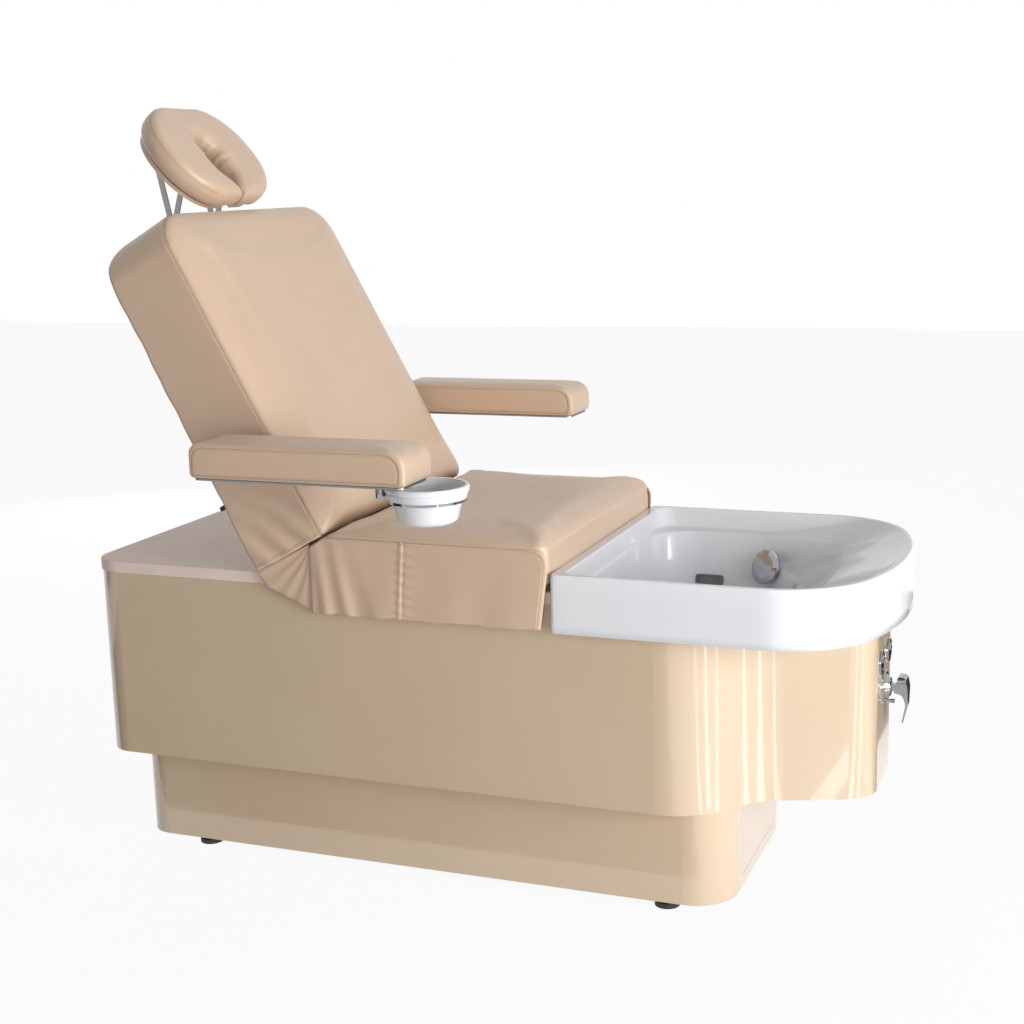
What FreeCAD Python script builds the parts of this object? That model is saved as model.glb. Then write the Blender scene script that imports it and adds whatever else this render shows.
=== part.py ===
import FreeCAD, Part
import math
import os

# Pedicure and treatment bed with a foot basin. Millimetres, +Z up, +X towards the basin.
# The origin is on the floor, under the middle of the bed's length and width.
# The near side is -Y, and it carries the manicure bowl.

vector = FreeCAD.Vector
zero_point = vector(0, 0, 0)
x_axis = vector(1, 0, 0)
y_axis = vector(0, 1, 0)
z_axis = vector(0, 0, 1)
both_sides = (-1, 1)
full_turn = 360.0
least_turn = 0.0001
least_corner_radius = 4.0
crown_steps = 6

# Overall sizes
overall_length = 1990.0
overall_width = 1240.0
rear_x = -overall_length / 2
foot_x = overall_length / 2

# Clearances shared by many pieces
overrun = 2.0
panel_gap = 0.3
running_gap = 0.05
seat_gap = 0.3

# Floor, plinth and cabinet heights
plinth_bottom_z = 22.0
cabinet_bottom_z = 269.0
deck_top_z = 772.0
deck_thickness = 28.0
deck_bottom_z = deck_top_z - deck_thickness

# Plinth
plinth_half_width = 307.0
plinth_rear_setback = 56.0
plinth_foot_setback = 357.0
plinth_rear_x = rear_x + plinth_rear_setback
plinth_foot_x = foot_x - plinth_foot_setback
plinth_rear_radius = 75.0
plinth_foot_radius = 108.0
panel_wall = 18.0

# Upper cabinet, with its S shaped shoulders at the foot end
cabinet_half_width = 384.0
deck_overhang = 3.0
cabinet_rear_x = rear_x + deck_overhang
cabinet_rear_radius = 76.0
shoulder_from_foot = 410.0
shoulder_radius = 176.0
hollow_from_foot = 317.0
hollow_half_width = 235.0
hollow_radius = 214.0
nose_setback = 58.0
nose_half_width = 141.0
nose_radius = 80.0
nose_x = foot_x - nose_setback
cabinet_foot_step_z = 686.0

# Basin
basin_seat_x = 253.0
basin_rim_z = 818.0
basin_apron_z = 683.0
basin_half_width = 404.0
basin_flare = 5.0
basin_wall = 6.0
basin_corner_from_foot = 94.0
basin_corner_radius = 226.0
basin_crown_half_width = 124.0
basin_crown_radius = 760.0
basin_seat_corner_radius = 12.0
rim_lip = 12.0
rim_seat_lip = 29.0

# Seat and backrest upholstery
seat_half_width = 409.0
skirt_wall = 6.0
skirt_inner = seat_half_width - skirt_wall
skirt_drop = 190.0
seam_z = 874.0
seat_crown = 33.0
seat_crown_reach = 85.0
seat_board_thickness = 18.0
seat_foot_x = basin_seat_x - 3.0

# Backrest hinge and recline
hinge_x = -374.0
hinge_rise = 18.0
hinge_z = deck_top_z + hinge_rise
hinge_point = vector(hinge_x, 0, hinge_z)
recline_range = 61.5
backrest_length = 903.0
backrest_start = 47.0
backrest_depth = 205.0
back_seam_rise = 92.0
back_crown = 46.0
back_crown_reach = 95.0


# Shared modelling helpers
def block(x_low, x_high, y_low, y_high, z_low, z_high):
    size = (x_high - x_low, y_high - y_low, z_high - z_low)
    return Part.makeBox(size[0], size[1], size[2], vector(x_low, y_low, z_low))


def rod(radius, start, end):
    along = end - start
    return Part.makeCylinder(radius, along.Length, start, along)


def fuse_all(shapes):
    whole = shapes[0]
    for shape in shapes[1:]:
        whole = whole.fuse(shape)
    return whole.removeSplitter()


def cut_all(shape, cutters):
    for cutter in cutters:
        shape = shape.cut(cutter)
    return shape


def rounded_wire(corners, place):
    # Each corner is (u, v, radius). place turns u and v into a point in space.
    count = len(corners)
    starts = []
    middles = []
    ends = []
    for index in range(count):
        u, v, radius = corners[index]
        here = vector(u, v, 0)
        before = vector(corners[index - 1][0], corners[index - 1][1], 0)
        after_corner = corners[(index + 1) % count]
        after = vector(after_corner[0], after_corner[1], 0)
        back = (before - here).normalize()
        ahead = (after - here).normalize()
        inner_angle = back.getAngle(ahead)
        if radius <= 0 or math.pi - inner_angle < least_turn:
            starts.append(here)
            middles.append(None)
            ends.append(here)
            continue
        tangent = radius / math.tan(inner_angle / 2)
        toward_centre = (back + ahead).normalize()
        centre = here + toward_centre * (radius / math.sin(inner_angle / 2))
        starts.append(here + back * tangent)
        middles.append(centre - toward_centre * radius)
        ends.append(here + ahead * tangent)
    edges = []
    for index in range(count):
        following = (index + 1) % count
        if middles[index] is not None:
            arc_points = [starts[index], middles[index], ends[index]]
            placed = [place(point.x, point.y) for point in arc_points]
            edges.append(Part.Arc(placed[0], placed[1], placed[2]).toShape())
        line_start = place(ends[index].x, ends[index].y)
        line_end = place(starts[following].x, starts[following].y)
        edges.append(Part.LineSegment(line_start, line_end).toShape())
    return Part.Wire(edges)


def plan_wire(corners, z):
    return rounded_wire(corners, lambda u, v: vector(u, v, z))


def prism(corners, z_low, z_high):
    face = Part.Face(plan_wire(corners, z_low))
    return face.extrude(z_axis * (z_high - z_low))


def side_prism(corners, y_low, y_high):
    # A profile drawn in X and Z, and given its width along Y.
    wire = rounded_wire(corners, lambda u, v: vector(u, y_low, v))
    return Part.Face(wire).extrude(y_axis * (y_high - y_low))


def nose_prism(corners, x_low, x_high):
    # A profile drawn in Y and Z, and given its depth along X.
    wire = rounded_wire(corners, lambda u, v: vector(x_low, u, v))
    return Part.Face(wire).extrude(x_axis * (x_high - x_low))


def loft(levels, ruled=True):
    wires = [plan_wire(corners, z) for corners, z in levels]
    return Part.makeLoft(wires, True, ruled)


def inset(corners, distance):
    # Moves every side of a closed outline inwards. The outline runs anticlockwise.
    count = len(corners)
    lines = []
    for index in range(count):
        u, v, _ = corners[index]
        next_u, next_v, _ = corners[(index + 1) % count]
        length = math.hypot(next_u - u, next_v - v)
        direction = ((next_u - u) / length, (next_v - v) / length)
        shifted = (u - direction[1] * distance, v + direction[0] * distance)
        lines.append((shifted, direction))
    result = []
    for index in range(count):
        first_point, first_way = lines[index - 1]
        second_point, second_way = lines[index]
        turn = first_way[0] * second_way[1] - first_way[1] * second_way[0]
        if abs(turn) < least_turn:
            result.append((second_point[0], second_point[1], corners[index][2]))
            continue
        gap_u = second_point[0] - first_point[0]
        gap_v = second_point[1] - first_point[1]
        along = (gap_u * second_way[1] - gap_v * second_way[0]) / turn
        corner_u = first_point[0] + first_way[0] * along
        corner_v = first_point[1] + first_way[1] * along
        radius = corners[index][2] - math.copysign(distance, turn)
        if corners[index][2] <= 0:
            radius = 0
        else:
            radius = max(radius, least_corner_radius)
        result.append((corner_u, corner_v, radius))
    return result


def mirrored(near_corners):
    # Closes a near side outline with its mirror image on the far side.
    far_corners = [(u, -v, radius) for u, v, radius in reversed(near_corners)]
    return near_corners + far_corners


def turned(base, along, pairs):
    # A round piece on any axis, from pairs of radius and reach along that axis.
    across = along.cross(z_axis)
    if across.Length < least_turn:
        across = x_axis
    across = across.normalize()
    points = [base + along * pairs[0][1]]
    points.extend(base + across * radius + along * reach for radius, reach in pairs)
    points.append(base + along * pairs[-1][1])
    kept = [points[0]]
    for point in points[1:]:
        if (point - kept[-1]).Length > least_turn:
            kept.append(point)
    profile = Part.makePolygon(kept + [kept[0]])
    return Part.Face(profile).revolve(base, along, full_turn)


def crowned(outline, low_z, rise, reach):
    # A domed top on an outline: it rises and draws in along a quarter of an ellipse.
    levels = []
    for step in range(crown_steps + 1):
        angle = math.pi / 2 * step / crown_steps
        level = inset(outline, reach * (1 - math.cos(angle)))
        levels.append((level, low_z + rise * math.sin(angle)))
    return loft(levels)


def far_side(shape):
    return shape.mirror(zero_point, y_axis)


def save(name, *solids):
    shape = solids[0] if len(solids) == 1 else Part.makeCompound(list(solids))
    shape.exportStep("parts/" + name + ".step")
    bad = [solid for solid in shape.Solids if not solid.isValid() or solid.Volume <= 0]
    if bad or not shape.Solids:
        print("CHECK", name, len(shape.Solids), "solids", len(bad), "bad")


os.makedirs("parts", exist_ok=True)

# Plinth: a lacquered shell that the cabinet stands on, with a loose panel at the foot end
plinth_outline = mirrored([
    (plinth_rear_x, -plinth_half_width, plinth_rear_radius),
    (plinth_foot_x, -plinth_half_width, plinth_foot_radius),
])
plinth_inner = inset(plinth_outline, panel_wall)
plinth_shell = prism(plinth_outline, plinth_bottom_z, cabinet_bottom_z)
plinth_hollow = prism(plinth_inner, plinth_bottom_z - overrun, cabinet_bottom_z + overrun)
plinth_shell = plinth_shell.cut(plinth_hollow)

access_half_width = 170.0
access_margin = 30.0
access_low_z = plinth_bottom_z + access_margin
access_high_z = cabinet_bottom_z - access_margin
access_gap = 1.0
plinth_shell = plinth_shell.cut(block(
    plinth_foot_x - panel_wall - overrun, plinth_foot_x + overrun,
    -access_half_width, access_half_width, access_low_z, access_high_z))
access_rebate = 8.0
access_back = block(
    plinth_foot_x - panel_wall - access_rebate, plinth_foot_x - panel_wall,
    -access_half_width - access_margin / 2, access_half_width + access_margin / 2,
    access_low_z - access_margin / 2, access_high_z + access_margin / 2)
access_front = block(
    plinth_foot_x - panel_wall, plinth_foot_x,
    -access_half_width + access_gap, access_half_width - access_gap,
    access_low_z + access_gap, access_high_z - access_gap)
save("plinth", plinth_shell)
save("access_panel", fuse_all([access_back, access_front]))

# Steel underframe: base rails, posts and top rails of square tube, with crossbars between
frame_y = 266.0
tube_side = 40.0
tube_half = tube_side / 2
tube_wall = 2.5
rail_rear_x = plinth_rear_x + panel_wall + tube_side
rail_foot_x = 545.0
base_rail_low_z = plinth_bottom_z + panel_wall
base_rail_high_z = base_rail_low_z + tube_side
foot_stations = (-761.0, 482.0)
mid_post_x = -200.0
post_stations = (foot_stations[0], mid_post_x, foot_stations[1])
top_rail_high_z = deck_bottom_z
top_rail_low_z = top_rail_high_z - tube_side
cradle_top_z = 594.0
cradle_thickness = 18.0
cradle_rail_high_z = cradle_top_z - cradle_thickness
cradle_rail_low_z = cradle_rail_high_z - tube_side
top_rail_foot_x = basin_seat_x - tube_side


def x_rail(x_low, x_high, y, z_low):
    outer = block(x_low, x_high, y - tube_half, y + tube_half, z_low, z_low + tube_side)
    inner = block(
        x_low - overrun, x_high + overrun, y - tube_half + tube_wall, y + tube_half - tube_wall,
        z_low + tube_wall, z_low + tube_side - tube_wall)
    return outer.cut(inner)


def crossbar(x, z_low):
    reach = frame_y - tube_half
    outer = block(x - tube_half, x + tube_half, -reach, reach, z_low, z_low + tube_side)
    inner = block(
        x - tube_half + tube_wall, x + tube_half - tube_wall, -reach - overrun, reach + overrun,
        z_low + tube_wall, z_low + tube_side - tube_wall)
    return outer.cut(inner)


def post(x, y, z_low, z_high):
    outer = block(x - tube_half, x + tube_half, y - tube_half, y + tube_half, z_low, z_high)
    inner = block(
        x - tube_half + tube_wall, x + tube_half - tube_wall,
        y - tube_half + tube_wall, y + tube_half - tube_wall,
        z_low - overrun, z_high + overrun)
    return outer.cut(inner)


foot_stem_radius = 6.0
stem_holes = []
for station in foot_stations:
    for side in both_sides:
        stem_holes.append(rod(
            foot_stem_radius + running_gap,
            vector(station, side * frame_y, base_rail_low_z - overrun),
            vector(station, side * frame_y, base_rail_low_z + tube_wall + overrun)))

rails = []
posts = []
cradle_rail_rear_x = basin_seat_x + tube_half
for side in both_sides:
    base_rail = x_rail(rail_rear_x, rail_foot_x, side * frame_y, base_rail_low_z)
    rails.append(cut_all(base_rail, stem_holes))
    rails.append(x_rail(rail_rear_x, top_rail_foot_x, side * frame_y, top_rail_low_z))
    rails.append(x_rail(cradle_rail_rear_x, rail_foot_x, side * frame_y, cradle_rail_low_z))
    posts.append(post(post_stations[0], side * frame_y, base_rail_high_z, top_rail_low_z))
    posts.append(post(post_stations[1], side * frame_y, base_rail_high_z, top_rail_low_z))
    posts.append(post(post_stations[2], side * frame_y, base_rail_high_z, cradle_rail_low_z))
save("frame_rails", *rails)
save("frame_posts", *posts)

actuator_end_x = -44.0
crossbars = [crossbar(station, base_rail_low_z) for station in post_stations]
crossbars.append(crossbar(post_stations[0], top_rail_low_z))
crossbars.append(crossbar(actuator_end_x + tube_half, top_rail_low_z))
crossbars.append(crossbar(cradle_rail_rear_x + tube_half, cradle_rail_low_z))
save("frame_crossbars", *crossbars)

# Levelling feet: black pads on threaded stems under the base rails, with lock nuts
foot_radius = 30.0
foot_height = 13.0
foot_edge = 3.0
nut_radius = 11.0
nut_height = 8.0
nut_sides = 6
feet = []
for station in foot_stations:
    for side in both_sides:
        base = vector(station, side * frame_y, 0)
        pad = rod(foot_radius, base, base + z_axis * foot_height)
        rim_edges = [edge for edge in pad.Edges if edge.BoundBox.ZMin > foot_height - foot_edge]
        pad = pad.makeFillet(foot_edge, rim_edges)
        stem = rod(foot_stem_radius, base, base + z_axis * (base_rail_low_z + tube_wall))
        nut_top = base_rail_low_z - seat_gap
        nut_corners = []
        for corner in range(nut_sides):
            angle = 2 * math.pi * corner / nut_sides
            nut_corners.append((
                station + nut_radius * math.cos(angle),
                side * frame_y + nut_radius * math.sin(angle), 0))
        nut = prism(nut_corners, nut_top - nut_height, nut_top)
        feet.append(fuse_all([pad, stem, nut]))
save("levelling_feet", *feet)

# Upper cabinet: a lacquered shell, higher under the deck than under the basin
cabinet_outline = mirrored([
    (cabinet_rear_x, -cabinet_half_width, cabinet_rear_radius),
    (foot_x - shoulder_from_foot, -cabinet_half_width, shoulder_radius),
    (foot_x - hollow_from_foot, -hollow_half_width, hollow_radius),
    (nose_x, -nose_half_width, nose_radius),
])
cabinet_inner = inset(cabinet_outline, panel_wall)
cabinet_shell = prism(cabinet_outline, cabinet_bottom_z, deck_bottom_z)
cabinet_shell = cabinet_shell.cut(
    prism(cabinet_inner, cabinet_bottom_z - overrun, deck_bottom_z + overrun))
cabinet_shell = cabinet_shell.cut(block(
    basin_seat_x - overrun, foot_x, -cabinet_half_width - overrun, cabinet_half_width + overrun,
    cabinet_foot_step_z, deck_bottom_z + overrun))

# Places on the nose of the cabinet for the mixer and the two push buttons
mixer_z = 497.0
button_z = 571.0
button_y = 55.0
mixer_hole_radius = 24.0
button_sleeve_radius = 20.0
for side in both_sides:
    cabinet_shell = cabinet_shell.cut(rod(
        button_sleeve_radius + panel_gap,
        vector(nose_x - panel_wall - overrun, side * button_y, button_z),
        vector(nose_x + overrun, side * button_y, button_z)))
cabinet_shell = cabinet_shell.cut(rod(
    mixer_hole_radius,
    vector(nose_x - panel_wall - overrun, 0, mixer_z),
    vector(nose_x + overrun, 0, mixer_z)))
diverter_drop = 34.5
diverter_hole_radius = 3.5
cabinet_shell = cabinet_shell.cut(rod(
    diverter_hole_radius,
    vector(nose_x - panel_wall - overrun, 0, mixer_z - diverter_drop),
    vector(nose_x + overrun, 0, mixer_z - diverter_drop)))
save("upper_cabinet", cabinet_shell)

# Cabinet floor: closes the cabinet round the plinth, with the plinth's hollow left open
floor_outline = inset(cabinet_outline, panel_wall + panel_gap)
floor_board = prism(floor_outline, cabinet_bottom_z, cabinet_bottom_z + panel_wall)
floor_board = floor_board.cut(prism(
    plinth_inner, cabinet_bottom_z - overrun, cabinet_bottom_z + panel_wall + overrun))
save("cabinet_floor", floor_board)

# Deck board over the rear of the cabinet, with a slot for the backrest's lift arm
crank_height = 100.0
half_swing = recline_range / 2
crank_half_width = 20.0
crank_thickness = 10.0
crank_slot_room = 6.0
slot_reach = (hinge_z - deck_bottom_z) * math.tan(math.radians(half_swing))
slot_reach = slot_reach + crank_half_width + crank_slot_room
deck_outline = mirrored([
    (rear_x, -cabinet_half_width - deck_overhang, cabinet_rear_radius + deck_overhang),
    (basin_seat_x - overrun, -cabinet_half_width - deck_overhang, 0),
])
deck = prism(deck_outline, deck_bottom_z, deck_top_z)
deck_edge_radius = 3.0
top_edges = [edge for edge in deck.Edges if edge.BoundBox.ZMin > deck_top_z - deck_edge_radius]
deck = deck.makeFillet(deck_edge_radius, top_edges)
deck = deck.cut(block(
    hinge_x - slot_reach, hinge_x + slot_reach,
    -crank_thickness / 2 - crank_slot_room, crank_thickness / 2 + crank_slot_room,
    deck_bottom_z - overrun, deck_top_z + overrun))
save("deck_board", deck)

# Basin: a moulded acrylic shell with an apron, a flat rim, a wide shelf and a deep well
basin_rim = mirrored([
    (basin_seat_x, -basin_half_width, basin_seat_corner_radius),
    (foot_x - basin_corner_from_foot, -basin_half_width, basin_corner_radius),
    (foot_x - basin_flare, -basin_crown_half_width, basin_crown_radius),
])


def with_seat_end(corners, x, corner_radius):
    # Keeps the seat end of a basin outline at its own place and corner radius.
    changed = list(corners)
    changed[0] = (x, corners[0][1], corner_radius)
    changed[-1] = (x, corners[-1][1], corner_radius)
    return changed


def basin_level(side_inset, seat_inset, seat_radius):
    return with_seat_end(inset(basin_rim, side_inset), basin_seat_x + seat_inset, seat_radius)


shelf_z = 766.0
waist_z = 702.0
throat_z = 697.0
low_z = 634.0
well_floor_z = 600.0
rim_inner_radius = 30.0
bend_share = 0.4137
well_span = foot_x - basin_seat_x

# Levels of the well from the shelf down: height, where the sides begin to narrow, and the near
# corners. Places along X are shares of the basin's length, the rest are shares of its half width.
well_shares = (
    (shelf_z, 0.4137, ((0.0499, 0.8639, 0.2376), (0.7453, 0.7054, 0.1832), (0.7642, 0.2970, 1.2376))),
    (waist_z, 0.3329, ((0.0593, 0.8057, 0.2277), (0.5404, 0.7772, 0.2475), (0.6590, 0.3960, 0.2970))),
    (throat_z, 0.3059, ((0.0606, 0.8007, 0.2252), (0.4596, 0.7921, 0.2871), (0.6024, 0.3911, 0.2723))),
    (low_z, 0.2992, ((0.0822, 0.7426, 0.2079), (0.4515, 0.7351, 0.2624), (0.5836, 0.3762, 0.2475))),
    (well_floor_z, 0.2857, ((0.1240, 0.6634, 0.1733), (0.4340, 0.6559, 0.2178), (0.5458, 0.3416, 0.2079))),
)


def with_bend(corners, along_share):
    # Adds the point on each long side where the well starts to narrow towards the foot.
    bend_x = basin_seat_x + well_span * along_share
    y_near = corners[0][1]
    return [corners[0], (bend_x, y_near, 0)] + corners[1:-1] + [(bend_x, -y_near, 0), corners[-1]]


rim_inner = with_bend(basin_level(rim_lip, rim_seat_lip, rim_inner_radius), bend_share)
well_levels = [(rim_inner, basin_rim_z)]
for level_z, level_bend_share, corner_shares in well_shares:
    near_corners = [
        (basin_seat_x + well_span * along_share, -basin_half_width * width_share,
         basin_half_width * radius_share)
        for along_share, width_share, radius_share in corner_shares]
    well_levels.append((with_bend(mirrored(near_corners), level_bend_share), level_z))


def well_solid(grow, lower, top_z):
    levels = [(inset(corners, -grow), z - lower) for corners, z in well_levels]
    levels[0] = (levels[0][0], top_z)
    return loft(levels)


apron_bottom = basin_level(-basin_flare, 0, basin_seat_corner_radius)
rim_edge_radius = 5.0
rim_edge_shares = ((0.0, 1.0), (0.13, 0.5), (0.5, 0.13), (1.0, 0.0))
rim_levels = []
for inset_share, drop_share in rim_edge_shares:
    edge_inset = rim_edge_radius * inset_share
    edge_outline = basin_level(edge_inset, edge_inset, basin_seat_corner_radius)
    rim_levels.append((edge_outline, basin_rim_z - rim_edge_radius * drop_share))
basin_block = loft([(apron_bottom, basin_apron_z)] + rim_levels)
under_bottom = basin_level(basin_wall - basin_flare, basin_wall, basin_wall)
under_top = basin_level(basin_wall, basin_wall, basin_wall)
under_hollow = loft([
    (under_bottom, basin_apron_z - overrun), (under_top, basin_rim_z - basin_wall)])
basin = basin_block.cut(under_hollow)
basin = basin.fuse(well_solid(basin_wall, basin_wall, basin_rim_z - basin_wall / 2))
mouth = prism(rim_inner, basin_rim_z - overrun / 2, basin_rim_z + overrun)
basin = cut_all(basin, [well_solid(0, 0, basin_rim_z), mouth])
notch_high_z = cabinet_foot_step_z + basin_flare
basin = basin.cut(block(
    basin_seat_x - overrun, basin_seat_x + basin_wall + overrun,
    -cabinet_half_width - deck_overhang, cabinet_half_width + deck_overhang,
    basin_apron_z - overrun, notch_high_z))

# Drain in the floor of the well: flange, lifting plug and trap
drain_x = 470.0
drain_hole_radius = 26.0
drain_flange_radius = 35.0
drain_flange_rise = 3.0
drain_bore_radius = 21.0
drain_tail_radius = 24.0
drain_tail_length = 60.0
drain_top = vector(drain_x, 0, well_floor_z)
basin = basin.cut(rod(
    drain_hole_radius, drain_top - z_axis * (basin_wall + overrun), drain_top + z_axis * overrun))

# Filler on the far wall of the well. Its axis stands square to the wall, where that turns in.
filler_centre = vector(603.0, 300.0, 689.0)
filler_turn = 30.0
filler_slope = 20.0
filler_axis = vector(
    -math.sin(math.radians(filler_turn)) * math.cos(math.radians(filler_slope)),
    -math.cos(math.radians(filler_turn)) * math.cos(math.radians(filler_slope)),
    math.sin(math.radians(filler_slope)))
filler_hole_radius = 14.0
filler_reach = 14.0
basin = basin.cut(rod(
    filler_hole_radius, filler_centre - filler_axis * filler_reach,
    filler_centre + filler_axis * filler_reach))

# Suction fitting lower on the far wall, on its straight stretch between throat and low level
suction_x = 437.0
suction_z = 648.0
suction_half_length = 37.0
suction_half_width = 13.0
suction_thickness = 5.0
suction_recess = 3.0
suction_frame = 6.0
suction_corner = 8.0
suction_neck_radius = 11.7
suction_neck_back = 16.0
suction_nut_radius = 17.0
suction_nut_start = 9.0
far_throat_y = basin_half_width * well_shares[2][2][0][1]
far_low_y = basin_half_width * well_shares[3][2][0][1]
wall_lean = (far_throat_y - far_low_y) / (throat_z - low_z)
suction_centre = vector(suction_x, far_low_y + (suction_z - low_z) * wall_lean, suction_z)
suction_turn = 90.0 - math.degrees(math.atan(wall_lean))


def on_far_wall(shape):
    placed = shape.copy()
    placed.rotate(zero_point, x_axis, suction_turn)
    placed.translate(suction_centre)
    return placed


def centred_plate(half_length, half_width, corner_radius, z_low, z_high):
    return prism([
        (-half_length, -half_width, corner_radius), (half_length, -half_width, corner_radius),
        (half_length, half_width, corner_radius), (-half_length, half_width, corner_radius),
    ], z_low, z_high)


basin = basin.cut(on_far_wall(rod(
    suction_neck_radius + panel_gap, -z_axis * suction_neck_back, z_axis * overrun)))
save("basin", basin)

suction = centred_plate(
    suction_half_length, suction_half_width, suction_corner, 0, suction_thickness)
suction = suction.cut(centred_plate(
    suction_half_length - suction_frame, suction_half_width - suction_frame,
    suction_corner - suction_frame, suction_thickness - suction_recess,
    suction_thickness + overrun))
suction = suction.fuse(rod(suction_neck_radius, -z_axis * suction_neck_back, zero_point))
suction = suction.fuse(rod(
    suction_nut_radius, -z_axis * suction_neck_back, -z_axis * suction_nut_start))
save("suction_fitting", on_far_wall(suction))

# Board under the well, on the cradle rails, with a round hole for the drain
cradle_rear_x = 300.0
cradle_foot_x = 590.0
cradle_hole_radius = 40.0
cradle = block(
    cradle_rear_x, cradle_foot_x, -frame_y - tube_half, frame_y + tube_half,
    cradle_rail_high_z, cradle_top_z)
cradle = cradle.cut(rod(
    cradle_hole_radius, vector(drain_x, 0, cradle_rail_high_z - overrun),
    vector(drain_x, 0, cradle_top_z + overrun)))
save("basin_cradle", cradle)

# Drain flange with its tail, back nut and the spider that guides the plug
plug_stem_radius = 5.0
spider_hub_radius = 9.0
spider_arm_width = 4.0
spider_height = 10.0
spider_drop = 14.0
flange = rod(drain_flange_radius, drain_top, drain_top + z_axis * drain_flange_rise)
tail_end = drain_top - z_axis * drain_tail_length
flange = flange.fuse(rod(drain_tail_radius, tail_end, drain_top))
nut_top_z = cradle_top_z - seat_gap
back_nut = rod(
    drain_flange_radius, vector(drain_x, 0, nut_top_z - nut_height), vector(drain_x, 0, nut_top_z))
flange = flange.fuse(back_nut)
flange = flange.cut(rod(
    drain_bore_radius, tail_end - z_axis * overrun,
    drain_top + z_axis * (drain_flange_rise + overrun)))
spider_top_z = well_floor_z - spider_drop
spider = rod(
    spider_hub_radius, vector(drain_x, 0, spider_top_z - spider_height),
    vector(drain_x, 0, spider_top_z))
spider = spider.fuse(block(
    drain_x - drain_bore_radius - running_gap, drain_x + drain_bore_radius + running_gap,
    -spider_arm_width / 2, spider_arm_width / 2, spider_top_z - spider_height, spider_top_z))
spider = spider.fuse(block(
    drain_x - spider_arm_width / 2, drain_x + spider_arm_width / 2,
    -drain_bore_radius - running_gap, drain_bore_radius + running_gap,
    spider_top_z - spider_height, spider_top_z))
flange = flange.fuse(spider)
flange = flange.cut(rod(
    plug_stem_radius + running_gap, vector(drain_x, 0, spider_top_z - spider_height - overrun),
    vector(drain_x, 0, spider_top_z + overrun)))
save("drain_flange", flange)

# Lifting drain plug: a low dome on a stem that slides in the spider
plug_radius = 27.0
plug_edge_height = 2.5
plug_dome_height = 3.0
plug_low_z = well_floor_z + drain_flange_rise + seat_gap
plug_stem_drop = 52.0
plug_low_point = vector(drain_x, 0, plug_low_z)
plug = turned(plug_low_point, z_axis, [
    (plug_stem_radius, -plug_stem_drop), (plug_stem_radius, 0), (plug_radius, 0),
    (plug_radius, plug_edge_height), (plug_radius * 2 / 3, plug_edge_height + plug_dome_height / 2),
    (plug_radius / 3, plug_edge_height + plug_dome_height)])
save("drain_plug", plug)


# Pipes run straight with one round bend at each turn
def pipe(points, outer_radius, inner_radius, bend_radius):
    edges = []
    cursor = points[0]
    for index in range(1, len(points) - 1):
        corner = points[index]
        back = (points[index - 1] - corner).normalize()
        ahead = (points[index + 1] - corner).normalize()
        inner_angle = back.getAngle(ahead)
        tangent = bend_radius / math.tan(inner_angle / 2)
        toward_centre = (back + ahead).normalize()
        centre = corner + toward_centre * (bend_radius / math.sin(inner_angle / 2))
        arc_start = corner + back * tangent
        arc_end = corner + ahead * tangent
        edges.append(Part.LineSegment(cursor, arc_start).toShape())
        middle = centre - toward_centre * bend_radius
        edges.append(Part.Arc(arc_start, middle, arc_end).toShape())
        cursor = arc_end
    edges.append(Part.LineSegment(cursor, points[-1]).toShape())
    path = Part.Wire(edges)
    start_way = (points[1] - points[0]).normalize()
    outer_ring = Part.Wire([Part.makeCircle(outer_radius, points[0], start_way)])
    outer = path.makePipeShell([outer_ring], True, False)
    if inner_radius <= 0:
        return outer
    inner_ring = Part.Wire([Part.makeCircle(inner_radius, points[0], start_way)])
    return outer.cut(path.makePipeShell([inner_ring], True, False))


# Waste: a bottle trap under the drain and a pipe down into the plinth
trap_radius = 32.0
trap_height = 95.0
trap_top_z = tail_end.z - seat_gap
waste_radius = 20.0
waste_wall = 2.0
waste_x = 540.0
waste_end_z = 60.0
waste_bend = 30.0
waste_side_drop = 35.0
waste_side_z = trap_top_z - waste_side_drop
trap = rod(
    trap_radius, vector(drain_x, 0, trap_top_z - trap_height), vector(drain_x, 0, trap_top_z))
collar_height = 14.0
collar_radius = 38.0
for collar_top in (trap_top_z, trap_top_z - trap_height + collar_height):
    trap = trap.fuse(rod(
        collar_radius, vector(drain_x, 0, collar_top - collar_height),
        vector(drain_x, 0, collar_top)))
waste_path = [
    vector(drain_x + trap_radius - waste_wall, 0, waste_side_z),
    vector(waste_x, 0, waste_side_z), vector(waste_x, 0, waste_end_z)]
waste_pipe = pipe(waste_path, waste_radius, waste_radius - waste_wall, waste_bend)
save("waste_trap", fuse_all([trap, waste_pipe]))


# Filler: a fixed rose on the far wall, and the round chrome knob that works the drain
filler_neck_radius = filler_hole_radius - panel_gap
rose_radius = 24.0
rose_start = 11.5
rose_end = 20.0
spindle_radius = 8.0
spindle_end = 30.0
neck_back = 3.0
filler_body = turned(filler_centre, filler_axis, [
    (filler_neck_radius, -neck_back), (filler_neck_radius, rose_start), (rose_radius, rose_start),
    (rose_radius, rose_end), (spindle_radius, rose_end), (spindle_radius, spindle_end)])
save("filler_body", filler_body)

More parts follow.
